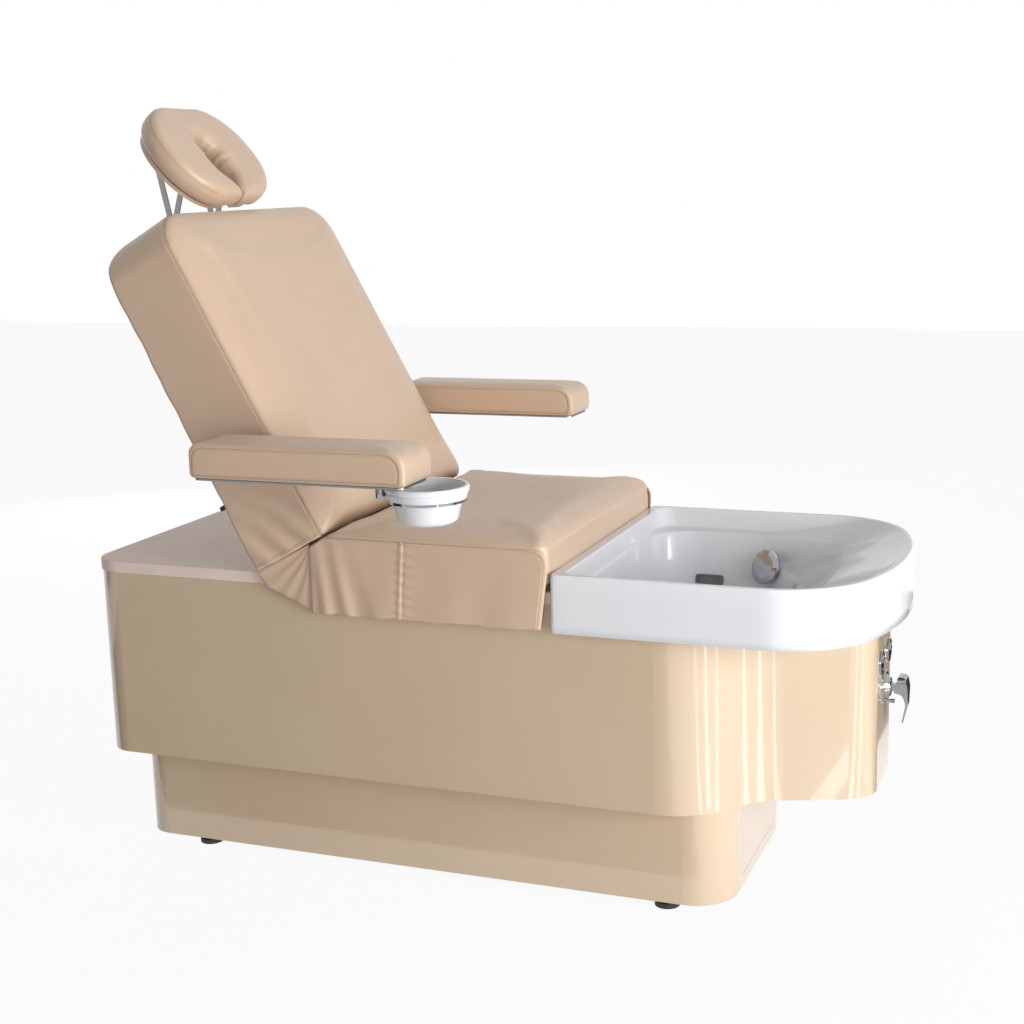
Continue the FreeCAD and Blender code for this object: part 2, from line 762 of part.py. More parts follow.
knob_radius = 45.0
knob_start = rose_end + seat_gap
knob_edge = 28.0
knob_front = 35.0
knob_bevel = 3.0
knob = turned(filler_centre, filler_axis, [
    (knob_radius - knob_bevel, knob_start), (knob_radius, knob_start + knob_bevel),
    (knob_radius, knob_edge), (knob_radius - knob_bevel, knob_edge + knob_bevel),
    (knob_radius * 2 / 3, knob_front - knob_bevel / 3), (knob_bevel, knob_front)])
knob = knob.cut(turned(filler_centre, filler_axis, [
    (spindle_radius + running_gap, knob_start - overrun),
    (spindle_radius + running_gap, spindle_end + running_gap)]))
save("filler_knob", knob)

# Mixer behind and on the nose of the cabinet: valve, rose, turning stem and claw lever
nose_point = vector(nose_x, 0, mixer_z)
valve_radius = 22.0
valve_depth = 78.0
stem_radius = 15.0
stem_pocket = 12.0
stem_back = 11.0
barrel_radius = 15.0
barrel_reach = 58.0
barrel_back = 52.0
supply_radius = 7.5
supply_y = 45.0
valve = turned(nose_point, x_axis, [(valve_radius, -valve_depth), (valve_radius, -seat_gap)])
valve = valve.fuse(rod(
    barrel_radius, vector(nose_x - barrel_back, -barrel_reach, mixer_z),
    vector(nose_x - barrel_back, barrel_reach, mixer_z)))
valve = valve.cut(turned(nose_point, x_axis, [
    (stem_radius + running_gap, -stem_pocket), (stem_radius + running_gap, 0)]))
save("mixer_valve", valve)

rose_edge = 3.0
mixer_rose_radius = 40.0
mixer_rose_depth = 6.0
cone_back_radius = 29.0
cone_front_radius = 22.0
cone_depth = 16.0
diverter_stem_radius = 3.0
diverter_back = 9.0
escutcheon = turned(nose_point, x_axis, [
    (mixer_rose_radius, 0), (mixer_rose_radius, rose_edge),
    (mixer_rose_radius - rose_edge, mixer_rose_depth), (cone_back_radius, mixer_rose_depth),
    (cone_front_radius, cone_depth)])
escutcheon = escutcheon.cut(turned(nose_point, x_axis, [
    (stem_radius + running_gap, -overrun), (stem_radius + running_gap, cone_depth + overrun)]))
diverter_point = nose_point - z_axis * diverter_drop
diverter_hole = turned(diverter_point, x_axis, [
    (diverter_stem_radius + running_gap, -panel_wall - overrun),
    (diverter_stem_radius + running_gap, mixer_rose_depth + overrun)])
save("mixer_escutcheon", escutcheon.cut(diverter_hole))

tongue_half_thickness = 5.0
tongue_half_height = 9.0
tongue_front = 37.0
lever_pivot_reach = 27.0
lever_pin_radius = 2.5
stem = turned(nose_point, x_axis, [(stem_radius, -stem_back), (stem_radius, cone_depth + overrun)])
stem = stem.fuse(block(
    nose_x + cone_depth, nose_x + tongue_front, -tongue_half_thickness, tongue_half_thickness,
    mixer_z - tongue_half_height, mixer_z + tongue_half_height))
pivot_x = nose_x + lever_pivot_reach
stem = stem.cut(rod(
    lever_pin_radius + running_gap, vector(pivot_x, -stem_radius, mixer_z),
    vector(pivot_x, stem_radius, mixer_z)))
save("mixer_stem", stem)

# The lever's side view, as shares of its reach from the nose and of its drop to the tip
lever_margin = 0.5
lever_reach = nose_setback - lever_margin
lever_drop = 86.0
lever_side_shares = [
    (0.44, 0.10, 0.0), (0.60, -0.34, 0.03), (0.90, -0.34, 0.10), (1.0, -0.02, 0.5),
    (1.0, 0.46, 0.4), (0.80, 1.0, 0.02), (0.74, 0.99, 0.02), (0.90, 0.44, 0.3),
    (0.78, 0.15, 0.16)]
lever_side = [
    (nose_x + reach * lever_reach, mixer_z - drop * lever_drop, radius_share * lever_drop)
    for reach, drop, radius_share in lever_side_shares]
lever_half_width = 23.0
lever_front_shares = [
    (-0.17, 1.0, 0.12), (0.17, 1.0, 0.12), (0.55, 0.45, 1.0), (1.0, 0.02, 0.5),
    (1.0, -0.38, 0.7), (-1.0, -0.38, 0.7), (-1.0, 0.02, 0.5), (-0.55, 0.45, 1.0)]
lever_front = [
    (across * lever_half_width, mixer_z - drop * lever_drop, radius_share * lever_half_width)
    for across, drop, radius_share in lever_front_shares]
lever = side_prism(lever_side, -lever_half_width, lever_half_width)
lever = lever.common(nose_prism(lever_front, nose_x, foot_x))
slot_side_gap = 0.4
slot_half_height = 14.0
slot_front = 41.0
lever = lever.cut(block(
    nose_x, nose_x + slot_front,
    -tongue_half_thickness - slot_side_gap, tongue_half_thickness + slot_side_gap,
    mixer_z - slot_half_height, mixer_z + slot_half_height))
lever_pin_cover = 8.0
pin_half_length = lever_half_width - lever_pin_cover
lever = lever.fuse(rod(
    lever_pin_radius, vector(pivot_x, -pin_half_length, mixer_z),
    vector(pivot_x, pin_half_length, mixer_z)))
save("mixer_lever", lever)

diverter_front = 14.0
diverter_tip = 25.0
diverter_head_radius = 5.0
diverter = turned(diverter_point, x_axis, [
    (diverter_stem_radius, -diverter_back), (diverter_stem_radius, diverter_front),
    (diverter_head_radius, diverter_front), (diverter_head_radius, diverter_tip)])
save("diverter_knob", diverter)

# Supply pipes from the valve, back under the basin and down into the plinth
supply_wall = 1.0
supply_turn_z = 330.0
supply_x = 585.0
supply_end_z = 60.0
supply_bend = 30.0
supplies = []
for side in both_sides:
    supplies.append(pipe([
        vector(nose_x - barrel_back, side * supply_y, mixer_z - barrel_radius + supply_wall / 4),
        vector(nose_x - barrel_back, side * supply_y, supply_turn_z),
        vector(supply_x, side * supply_y, supply_turn_z),
        vector(supply_x, side * supply_y, supply_end_z)],
        supply_radius, supply_radius - supply_wall, supply_bend))
save("supply_pipes", *supplies)

# Push buttons on the nose: bezels with sleeves, cups behind the wall, sliding caps
bezel_radius = 29.0
bezel_depth = 5.0
bezel_bevel = 2.0
cap_radius = 18.0
cap_front = 8.0
cap_edge = 0.5
cap_back = 20.0
cup_radius = 24.0
cup_depth = 50.0
cup_wall = 3.0
bezels = []
cups = []
caps = []
for side in both_sides:
    button_point = vector(nose_x, side * button_y, button_z)
    bezel = turned(button_point, x_axis, [
        (button_sleeve_radius, -panel_wall), (button_sleeve_radius, 0), (bezel_radius, 0),
        (bezel_radius, bezel_depth - bezel_bevel), (bezel_radius - bezel_bevel, bezel_depth),
        (cap_radius + running_gap, bezel_depth)])
    bezel = bezel.cut(turned(button_point, x_axis, [
        (cap_radius + running_gap, -panel_wall - overrun),
        (cap_radius + running_gap, bezel_depth + overrun)]))
    bezels.append(bezel)
    cup = turned(button_point, x_axis, [
        (cup_radius, -cup_depth), (cup_radius, -panel_wall - seat_gap)])
    cup = cup.cut(turned(button_point, x_axis, [
        (cap_radius + panel_gap, -cup_depth + cup_wall),
        (cap_radius + panel_gap, -panel_wall + overrun)]))
    cups.append(cup)
    caps.append(turned(button_point, x_axis, [
        (cap_radius, -cap_back), (cap_radius, bezel_depth), (cap_radius * 2 / 3, cap_front - cap_edge),
        (cap_edge, cap_front)]))
save("button_bezels", *bezels)
save("button_cups", *cups)
save("button_near", caps[0])
save("button_far", caps[1])

# Seat: board, foam cushion with a domed top, and a leather skirt on each long side
seat_rear_x = -353.0
seat_board_rear_x = -335.0
seat_board_setback = 14.0
seat_board_foot_x = seat_foot_x - seat_board_setback
seat_board_top_z = deck_top_z + seat_board_thickness
seat_top_z = seam_z + seat_crown
seat_shoulder_x = -308.0
seat_shoulder_low_z = 846.0
skirt_inner_half = skirt_inner - panel_gap
skirt_low_z = seam_z - skirt_drop
skirt_foot_x = 229.0
skirt_lean_z = 830.0
seat_corner_radius = 30.0
seat_rear_corner_radius = 8.0
waterfall_radius = 38.0
board = block(
    seat_board_rear_x, seat_board_foot_x, -skirt_inner_half, skirt_inner_half,
    deck_top_z, seat_board_top_z)
save("seat_board", board)

foam_outline = mirrored([
    (seat_rear_x, -skirt_inner_half, seat_rear_corner_radius),
    (seat_foot_x, -skirt_inner_half, seat_corner_radius - skirt_wall),
])
top_outline = mirrored([
    (seat_rear_x, -seat_half_width, seat_rear_corner_radius),
    (seat_foot_x, -seat_half_width, seat_corner_radius),
])
seat_foam = prism(foam_outline, seat_board_top_z, seam_z)
seat_foam = seat_foam.fuse(crowned(top_outline, seam_z, seat_crown, seat_crown_reach))
shoulder_slope = (seam_z - seat_shoulder_low_z) / (seat_shoulder_x - seat_rear_x)
seat_ridge_x = seat_rear_x + (seat_top_z + overrun - seat_shoulder_low_z) / shoulder_slope
seat_side = side_prism([
    (seat_rear_x, seat_board_top_z, 0), (seat_foot_x, seat_board_top_z, 0),
    (seat_foot_x, seat_top_z + overrun, waterfall_radius),
    (seat_ridge_x, seat_top_z + overrun, seat_corner_radius),
    (seat_rear_x, seat_shoulder_low_z, seat_rear_corner_radius),
], -seat_half_width - overrun, seat_half_width + overrun)
save("seat_cushion", seat_foam.common(seat_side))

near_skirt = side_prism([
    (seat_rear_x, skirt_low_z, 0), (skirt_foot_x, skirt_low_z, 0),
    (seat_foot_x, skirt_lean_z, seat_corner_radius), (seat_foot_x, seam_z, seat_corner_radius),
    (seat_shoulder_x, seam_z, 0), (seat_rear_x, seat_shoulder_low_z, 0),
], -seat_half_width, -skirt_inner_half)
save("seat_skirts", near_skirt, far_side(near_skirt))


# Backrest pieces are drawn lying flat behind the hinge, and then raised about it.
# Reach runs from the hinge towards the head end, and rise runs from the hinge line upwards.
def raised(shape):
    placed = shape.copy()
    placed.rotate(hinge_point, y_axis, recline_range)
    return placed


def flat_block(reach_low, reach_high, y_low, y_high, rise_low, rise_high):
    return block(
        hinge_x - reach_high, hinge_x - reach_low, y_low, y_high,
        hinge_z + rise_low, hinge_z + rise_high)


def flat_point(reach, y, rise):
    return vector(hinge_x - reach, y, hinge_z + rise)


def raised_point(reach, y, rise):
    point = flat_point(reach, y, rise) - hinge_point
    turn = math.radians(recline_range)
    return hinge_point + vector(
        point.x * math.cos(turn) + point.z * math.sin(turn), point.y,
        point.z * math.cos(turn) - point.x * math.sin(turn))


# Hinge blocks on the deck with two ears each, and their pins
ear_radius = 12.0
hinge_pin_radius = 6.0
arm_y = 300.0
arm_half_width = 10.0
ear_thickness = 9.0
hinge_plate_half = 30.0
hinge_plate_thickness = 4.0
pin_head_radius = 9.0
pin_head_thickness = 3.0
hinge_blocks = []
hinge_pins = []
for side in both_sides:
    inner_y = side * arm_y - arm_half_width - seat_gap - ear_thickness
    outer_y = side * arm_y + arm_half_width + seat_gap
    plate_top_z = deck_top_z + hinge_plate_thickness
    hinge_block = block(
        hinge_x - hinge_plate_half, hinge_x + hinge_plate_half,
        inner_y, outer_y + ear_thickness, deck_top_z, plate_top_z)
    for ear_y in (inner_y, outer_y):
        hinge_block = hinge_block.fuse(block(
            hinge_x - ear_radius, hinge_x + ear_radius, ear_y, ear_y + ear_thickness,
            plate_top_z, hinge_z))
        hinge_block = hinge_block.fuse(rod(
            ear_radius, vector(hinge_x, ear_y, hinge_z),
            vector(hinge_x, ear_y + ear_thickness, hinge_z)))
    pin_start = vector(hinge_x, inner_y - overrun, hinge_z)
    pin_end = vector(hinge_x, outer_y + ear_thickness, hinge_z)
    hinge_blocks.append(hinge_block.removeSplitter().cut(rod(
        hinge_pin_radius, pin_start, pin_end + y_axis * overrun)))
    pin = rod(hinge_pin_radius, pin_start, pin_end)
    hinge_pins.append(pin.fuse(rod(
        pin_head_radius, pin_end, pin_end + y_axis * pin_head_thickness)))
save("hinge_blocks", *hinge_blocks)
save("hinge_pins", *hinge_pins)

# Backrest frame: two tube arms with eyes, cross tubes, a torque tube and the lift arm
frame_half = 12.0
arm_margin = 23.0
arm_end = backrest_length - arm_margin
arm_hollow_start = 45.0
cross_stations = (392.0, 672.0, arm_end - frame_half)
torque_reach = 30.0
crank_tip = 140.0
crank_back = 8.0
crank_corner = 8.0
crank_root_half = 12.0
crank_slot_half = 10.6
crank_slot_near = 98.0
crank_slot_far = 118.5
crank_turn = math.radians(half_swing)
crank_way = vector(math.sin(crank_turn), 0, -math.cos(crank_turn))
crank_side = vector(math.cos(crank_turn), 0, math.sin(crank_turn))
frame_pieces = []
for side in both_sides:
    y_low = side * arm_y - arm_half_width
    y_high = side * arm_y + arm_half_width
    arm = flat_block(0, arm_end, y_low, y_high, -frame_half, frame_half)
    arm = arm.fuse(rod(ear_radius, flat_point(0, y_low, 0), flat_point(0, y_high, 0)))
    arm = arm.cut(flat_block(
        arm_hollow_start, arm_end + overrun, y_low + tube_wall, y_high - tube_wall,
        tube_wall - frame_half, frame_half - tube_wall))
    frame_pieces.append(arm)
arm_inner_y = arm_y - arm_half_width
for station in cross_stations:
    cross = flat_block(
        station - frame_half, station + frame_half, -arm_inner_y, arm_inner_y,
        -frame_half, frame_half)
    frame_pieces.append(cross.cut(flat_block(
        station - frame_half + tube_wall, station + frame_half - tube_wall,
        -arm_inner_y + overrun, arm_inner_y - overrun,
        tube_wall - frame_half, frame_half - tube_wall)))
frame_pieces.append(rod(
    frame_half, flat_point(torque_reach, -arm_inner_y, 0),
    flat_point(torque_reach, arm_inner_y, 0)))
crank_y = crank_thickness / 2
crank_wire = rounded_wire([
    (-crank_back, -crank_root_half, crank_corner), (crank_tip, -crank_half_width, crank_corner),
    (crank_tip, crank_half_width, crank_corner), (-crank_back, crank_root_half, crank_corner),
], lambda u, v: hinge_point + crank_way * u + crank_side * v - y_axis * crank_y)
crank = Part.Face(crank_wire).extrude(y_axis * crank_thickness)
frame_pieces.append(crank)
frame_pieces.append(flat_block(0, torque_reach, -crank_y, crank_y, -crank_root_half, frame_half))
backrest_frame = fuse_all(frame_pieces)
slot_near = hinge_point + crank_way * crank_slot_near
slot_far = hinge_point + crank_way * crank_slot_far
slot_wire = rounded_wire([
    (crank_slot_near, -crank_slot_half, 0), (crank_slot_far, -crank_slot_half, 0),
    (crank_slot_far, crank_slot_half, 0), (crank_slot_near, crank_slot_half, 0),
], lambda u, v: hinge_point + crank_way * u + crank_side * v - y_axis * crank_thickness)
backrest_frame = cut_all(backrest_frame, [
    Part.Face(slot_wire).extrude(y_axis * crank_thickness * 2),
    rod(crank_slot_half, slot_near - y_axis * crank_thickness,
        slot_near + y_axis * crank_thickness),
    rod(crank_slot_half, slot_far - y_axis * crank_thickness,
        slot_far + y_axis * crank_thickness),
    rod(hinge_pin_radius + running_gap, flat_point(0, -arm_y - ear_radius, 0),
        flat_point(0, arm_y + ear_radius, 0)),
])
save("backrest_frame", raised(backrest_frame))

# Backrest upholstery: board, foam cushion with a domed face, and a deep leather skirt
board_rise = 28.0
board_margin = 13.0
board_reach_high = backrest_length - board_margin
foam_step_rise = 60.0
foam_low_half = 398.0
board_half_width = 395.0
backrest_corner = 95.0
backrest_lower_corner = 10.0
skirt_rise_low = back_seam_rise - backrest_depth
back_seam_z = hinge_z + back_seam_rise
hem_corner = 62.0


def backrest_outline(half_width, reach_high, head_corner, lower_corner):
    return mirrored([
        (hinge_x - reach_high, -half_width, head_corner),
        (hinge_x - backrest_start, -half_width, lower_corner)])


foam_reach = backrest_length - skirt_wall
foam_corner = backrest_corner - skirt_wall
save("backrest_board", raised(prism(
    backrest_outline(board_half_width, board_reach_high, foam_corner, 0),
    hinge_z + frame_half, hinge_z + board_rise)))
backrest_foam = prism(
    backrest_outline(foam_low_half, foam_reach, foam_corner, 0),
    hinge_z + board_rise, hinge_z + foam_step_rise)
backrest_foam = backrest_foam.fuse(prism(
    backrest_outline(skirt_inner, foam_reach, foam_corner, 0),
    hinge_z + foam_step_rise, back_seam_z))
backrest_foam = backrest_foam.fuse(crowned(
    backrest_outline(seat_half_width, backrest_length, backrest_corner, backrest_lower_corner),
    back_seam_z, back_crown, back_crown_reach))
save("backrest_cushion", raised(backrest_foam))

# Armrest pivots and headrest rods need holes in the skirt, so their places come first
pivot_reach = 310.0
pivot_rise = 37.0
shaft_radius = 12.0
headrest_y = 100.0
rod_rise = -56.5
rod_radius = 6.0
skirt = prism(
    backrest_outline(seat_half_width, backrest_length, backrest_corner, 0),
    hinge_z + skirt_rise_low, back_seam_z)
skirt_hollow = mirrored([
    (hinge_x - foam_reach, -skirt_inner, foam_corner),
    (hinge_x - backrest_start + overrun, -skirt_inner, 0)])
skirt = skirt.cut(prism(
    skirt_hollow, hinge_z + skirt_rise_low - overrun, back_seam_z + overrun))
skirt = skirt.common(side_prism([
    (hinge_x - backrest_length, hinge_z + skirt_rise_low, hem_corner),
    (hinge_x - backrest_start, hinge_z + skirt_rise_low, 0),
    (hinge_x - backrest_start, back_seam_z, 0), (hinge_x - backrest_length, back_seam_z, 0),
], -seat_half_width - overrun, seat_half_width + overrun))
skirt = skirt.cut(rod(
    shaft_radius + panel_gap, flat_point(pivot_reach, -seat_half_width - overrun, pivot_rise),
    flat_point(pivot_reach, seat_half_width + overrun, pivot_rise)))
rod_hole_radius = rod_radius + 2 * panel_gap
for side in both_sides:
    skirt = skirt.cut(rod(
        rod_hole_radius, flat_point(foam_reach - backrest_corner, side * headrest_y, rod_rise),
        flat_point(backrest_length + overrun, side * headrest_y, rod_rise)))
save("backrest_skirt", raised(skirt))

# Gussets: leather panels fixed to the seat, which slide behind the backrest's skirt
gusset_gap = 0.5
gusset_rear_gap = 2.0
gusset_lap_x = -330.0
gusset_lap_z = 770.0
end_low = raised_point(backrest_start - gusset_gap, 0, skirt_rise_low)
end_high = raised_point(backrest_start - gusset_gap, 0, foam_step_rise / 2)
end_slope = (end_high.z - end_low.z) / (end_high.x - end_low.x)
gusset_front_x = seat_rear_x - panel_gap
gusset_top_z = end_low.z + (gusset_front_x - end_low.x) * end_slope
gusset_hem_shares = ((0.0, -0.14), (0.17, -0.43), (0.46, -0.61), (0.76, -0.8))
gusset_length = gusset_front_x - end_low.x
gusset_height = end_low.z - skirt_low_z
gusset_corners = [
    (end_low.x + gusset_length * along_share, end_low.z + gusset_height * drop_share, 0)
    for along_share, drop_share in gusset_hem_shares]
gusset_corners = [(end_low.x, end_low.z, 0)] + gusset_corners
gusset_corners.extend([
    (gusset_front_x, skirt_low_z, 0), (gusset_lap_x, skirt_low_z, 0),
    (gusset_lap_x, gusset_lap_z, 0), (gusset_front_x, gusset_lap_z, 0),
    (gusset_front_x, gusset_top_z, 0)])
gusset_outer_y = skirt_inner - panel_gap
near_gusset = side_prism(gusset_corners, -gusset_outer_y, skirt_wall - gusset_outer_y)
save("gusset_near", near_gusset)
save("gusset_far", far_side(near_gusset))

# Armrest pivots: a bracket plate behind each skirt, tied to the frame, and a flanged shaft
plate_outer_half = 402.5
bracket_thickness = 4.0
bracket_reach_low = 250.0
bracket_reach_high = 370.0
bracket_rise_low = -14.0
bracket_rise_high = 58.0
bracket_inner_y = plate_outer_half - bracket_thickness
flange_start = seat_half_width + panel_gap
flange_end = 414.0
flange_radius = 22.0
lug_inner = 459.0
lug_outer = 465.0
cap_end = 468.0
cap_plate_radius = 16.0
bracket = flat_block(
    bracket_reach_low, bracket_reach_high, bracket_inner_y, plate_outer_half,
    bracket_rise_low, bracket_rise_high)
bracket = bracket.fuse(flat_block(
    pivot_reach - frame_half, pivot_reach + frame_half, arm_y + arm_half_width, bracket_inner_y,
    -frame_half, frame_half)).removeSplitter()
shaft = rod(
    shaft_radius, flat_point(pivot_reach, plate_outer_half, pivot_rise),
    flat_point(pivot_reach, cap_end, pivot_rise))
shaft = shaft.fuse(rod(
    flange_radius, flat_point(pivot_reach, flange_start, pivot_rise),
    flat_point(pivot_reach, flange_end, pivot_rise)))
shaft = shaft.fuse(rod(
    cap_plate_radius, flat_point(pivot_reach, lug_outer + seat_gap, pivot_rise),
    flat_point(pivot_reach, cap_end, pivot_rise)))
save("armrest_brackets", raised(bracket), far_side(raised(bracket)))
save("armrest_shafts", raised(shaft), far_side(raised(shaft)))

# Armrests: steel plate with a lug on the pivot, and a padded top
pad_rear_x = -534.0
pad_front_x = 8.0
pad_inner = 470.0
pad_outer = 620.0
pad_low_z = 1041.0
pad_top_z = 1126.0
pad_crown = 14.0
pad_crown_reach = 28.0
pad_corner = 24.0
arm_plate_thickness = 4.0
arm_plate_inset = 8.0
lug_radius = 22.0
lug_tab_front_x = -440.0
arm_plate_z = pad_low_z - arm_plate_thickness
arm_pivot = raised_point(pivot_reach, 0, pivot_rise)
pad_outline = [
    (pad_rear_x, pad_inner, pad_corner), (pad_front_x, pad_inner, pad_corner),
    (pad_front_x, pad_outer, pad_corner), (pad_rear_x, pad_outer, pad_corner)]
pad = prism(pad_outline, pad_low_z, pad_top_z - pad_crown)
pad = pad.fuse(crowned(pad_outline, pad_top_z - pad_crown, pad_crown, pad_crown_reach))
pad = pad.removeSplitter()
arm_plate = prism(inset(pad_outline, arm_plate_inset), arm_plate_z, pad_low_z)
arm_plate = arm_plate.fuse(block(
    pad_rear_x, lug_tab_front_x, lug_inner, pad_inner + pad_corner, arm_plate_z, pad_low_z))
lug_profile = [
    (pad_rear_x, arm_plate_z, 0), (lug_tab_front_x, arm_plate_z, 0),
    (lug_tab_front_x, pad_low_z, 0), (arm_pivot.x + lug_radius, arm_pivot.z, 0),
    (arm_pivot.x - lug_radius, arm_pivot.z, 0), (pad_rear_x, pad_low_z, 0)]
lug = side_prism(lug_profile, lug_inner, lug_outer)
lug = lug.fuse(rod(
    lug_radius, vector(arm_pivot.x, lug_inner, arm_pivot.z),
    vector(arm_pivot.x, lug_outer, arm_pivot.z)))
arm_plate = arm_plate.fuse(lug).removeSplitter()
arm_plate = arm_plate.cut(rod(
    shaft_radius + running_gap, vector(arm_pivot.x, lug_inner - overrun, arm_pivot.z),
    vector(arm_pivot.x, lug_outer + overrun, arm_pivot.z)))
save("armrest_pad_near", far_side(pad))
save("armrest_pad_far", pad)
save("armrest_plate_far", arm_plate)

# Bowl on a swinging ring under the near armrest
bowl_x = 18.0
bowl_y = -526.0
bowl_low_z = 952.5
bowl_rim_radius = 94.0
bowl_height = 83.0
bowl_waist_share = 0.85
bowl_band_share = 0.936
bowl_step_share = 0.65
bowl_pin_x = -96.0
ring_thickness = 5.7
ring_low_z = bowl_low_z + bowl_height * bowl_step_share - seat_gap - ring_thickness
ring_inner = bowl_rim_radius * bowl_waist_share + seat_gap
ring_outer = bowl_rim_radius * bowl_band_share
swing_pin_radius = 6.0
hub_radius = 12.0
hub_rise = 6.0
hub_top_z = ring_low_z + ring_thickness + hub_rise
boss_low_z = hub_top_z + seat_gap
holder_arm_half = 10.0
bowl_centre = vector(bowl_x, bowl_y, bowl_low_z)
swing_axis = vector(bowl_pin_x, bowl_y, 0)
boss = rod(hub_radius, swing_axis + z_axis * boss_low_z, swing_axis + z_axis * arm_plate_z)
near_plate = far_side(arm_plate).fuse(boss)
near_plate = near_plate.cut(rod(
    swing_pin_radius + running_gap, swing_axis + z_axis * (boss_low_z - overrun),
    swing_axis + z_axis * arm_plate_z))
save("armrest_plate_near", near_plate)

ring_top_z = ring_low_z + ring_thickness
holder = rod(
    ring_outer, vector(bowl_x, bowl_y, ring_low_z), vector(bowl_x, bowl_y, ring_top_z))
holder = holder.fuse(block(
    bowl_pin_x, bowl_x - ring_inner, bowl_y - holder_arm_half, bowl_y + holder_arm_half,
    ring_low_z, ring_top_z))
holder = holder.fuse(rod(
    hub_radius, swing_axis + z_axis * ring_low_z, swing_axis + z_axis * hub_top_z))
holder = holder.fuse(rod(
    swing_pin_radius, swing_axis + z_axis * ring_low_z,
    swing_axis + z_axis * (arm_plate_z - seat_gap)))
holder = holder.cut(rod(
    ring_inner, vector(bowl_x, bowl_y, ring_low_z - overrun),
    vector(bowl_x, bowl_y, ring_top_z + overrun)))
save("bowl_holder", holder)

# The bowl's outside and inside, as shares of the rim's radius and of the height
bowl_outside_shares = (
    (0.638, 0.0), (0.713, 0.072), (bowl_waist_share, bowl_step_share),
    (bowl_band_share, bowl_step_share), (0.963, 0.795), (0.941, 0.831), (1.0, 0.867),
    (1.0, 0.952), (0.973, 1.0))
bowl_inside_shares = ((0.574, 0.06), (0.649, 0.133), (0.798, 0.65), (0.872, 0.795), (0.915, 1.02))
bowl_outside = [
    (bowl_rim_radius * out_share, bowl_height * up_share)
    for out_share, up_share in bowl_outside_shares]
bowl_inside = [
    (bowl_rim_radius * out_share, bowl_height * up_share)
    for out_share, up_share in bowl_inside_shares]
bowl = turned(bowl_centre, z_axis, bowl_outside)
save("bowl", bowl.cut(turned(bowl_centre, z_axis, bowl_inside)))

# Release lever for the gas spring: a shaft in a bearing on the frame, a hanging rod and a knob
lever_reach_s = 221.0
lever_shaft_radius = 5.0
lever_bearing_radius = 9.0
lever_bearing_length = 24.0
lever_y = -395.0
lever_rod_radius = 4.0
lever_knob_radius = 6.0
lever_knob_start = -97.0
lever_knob_end = -127.0
bearing_start = flat_point(lever_reach_s, -arm_y - arm_half_width, 0)
bearing = rod(lever_bearing_radius, bearing_start, bearing_start - y_axis * lever_bearing_length)
bearing = bearing.cut(rod(
    lever_shaft_radius + running_gap, bearing_start,
    bearing_start - y_axis * (lever_bearing_length + overrun)))
save("lever_bearing", raised(bearing))
release = rod(
    lever_shaft_radius, bearing_start - y_axis * seat_gap,
    flat_point(lever_reach_s, lever_y, 0))
release = release.fuse(rod(
    lever_rod_radius, flat_point(lever_reach_s, lever_y, 0),
    flat_point(lever_reach_s, lever_y, lever_knob_end)))
release = release.fuse(rod(
    lever_knob_radius, flat_point(lever_reach_s, lever_y, lever_knob_start),
    flat_point(lever_reach_s, lever_y, lever_knob_end)))
save("release_lever", raised(release))

# Lockable gas spring under the deck: cylinder, rod with a fork, pin and bracket
spring_z = hinge_z - crank_height
spring_travel = 117.6
cylinder_radius = 20.0
cylinder_front_x = -270.0
cylinder_rear_x = actuator_end_x - skirt_wall
cylinder_floor = 10.0
piston_radius = 9.0
fork_pin_x = hinge_x - spring_travel / 2
fork_cheek_inner = 6.0
fork_cheek_outer = 12.0
fork_radius = 14.0
fork_bridge_start = 32.0
fork_bridge_end = 44.0
piston_length = 150.0
fork_pin_radius = 8.0
cylinder = rod(
    cylinder_radius, vector(cylinder_front_x, 0, spring_z), vector(cylinder_rear_x, 0, spring_z))
cylinder = cylinder.cut(rod(
    piston_radius + running_gap, vector(cylinder_front_x - overrun, 0, spring_z),
    vector(cylinder_rear_x - cylinder_floor, 0, spring_z)))
save("spring_cylinder", cylinder)

bracket_half_width = 26.0
saddle_half_length = 10.0
saddle_x = cylinder_front_x + 2 * saddle_half_length
spring_plate = block(
    cylinder_rear_x, actuator_end_x, -bracket_half_width, bracket_half_width,
    spring_z - cylinder_radius, deck_bottom_z)
saddle = block(
    saddle_x - saddle_half_length, saddle_x + saddle_half_length,
    -bracket_half_width, bracket_half_width, spring_z - bracket_half_width, deck_bottom_z)
saddle = saddle.cut(rod(
    cylinder_radius, vector(cylinder_front_x - overrun, 0, spring_z),
    vector(cylinder_rear_x, 0, spring_z)))
save("spring_brackets", spring_plate, saddle)

fork_point = vector(fork_pin_x, 0, spring_z)
bridge_front = fork_point + x_axis * fork_bridge_end
piston = rod(piston_radius, bridge_front, bridge_front + x_axis * piston_length)
piston = piston.fuse(block(
    fork_pin_x + fork_bridge_start, fork_pin_x + fork_bridge_end,
    -fork_cheek_outer, fork_cheek_outer, spring_z - piston_radius, spring_z + piston_radius))
for side in both_sides:
    cheek_low_y = min(side * fork_cheek_inner, side * fork_cheek_outer)
    cheek_high_y = max(side * fork_cheek_inner, side * fork_cheek_outer)
    piston = piston.fuse(block(
        fork_pin_x, fork_pin_x + fork_bridge_end, cheek_low_y, cheek_high_y,
        spring_z - piston_radius, spring_z + piston_radius))
    piston = piston.fuse(rod(
        fork_radius, vector(fork_pin_x, cheek_low_y, spring_z),
        vector(fork_pin_x, cheek_high_y, spring_z)))
piston = piston.removeSplitter().cut(rod(
    fork_pin_radius, fork_point - y_axis * fork_radius, fork_point + y_axis * fork_radius))
save("spring_rod", piston)
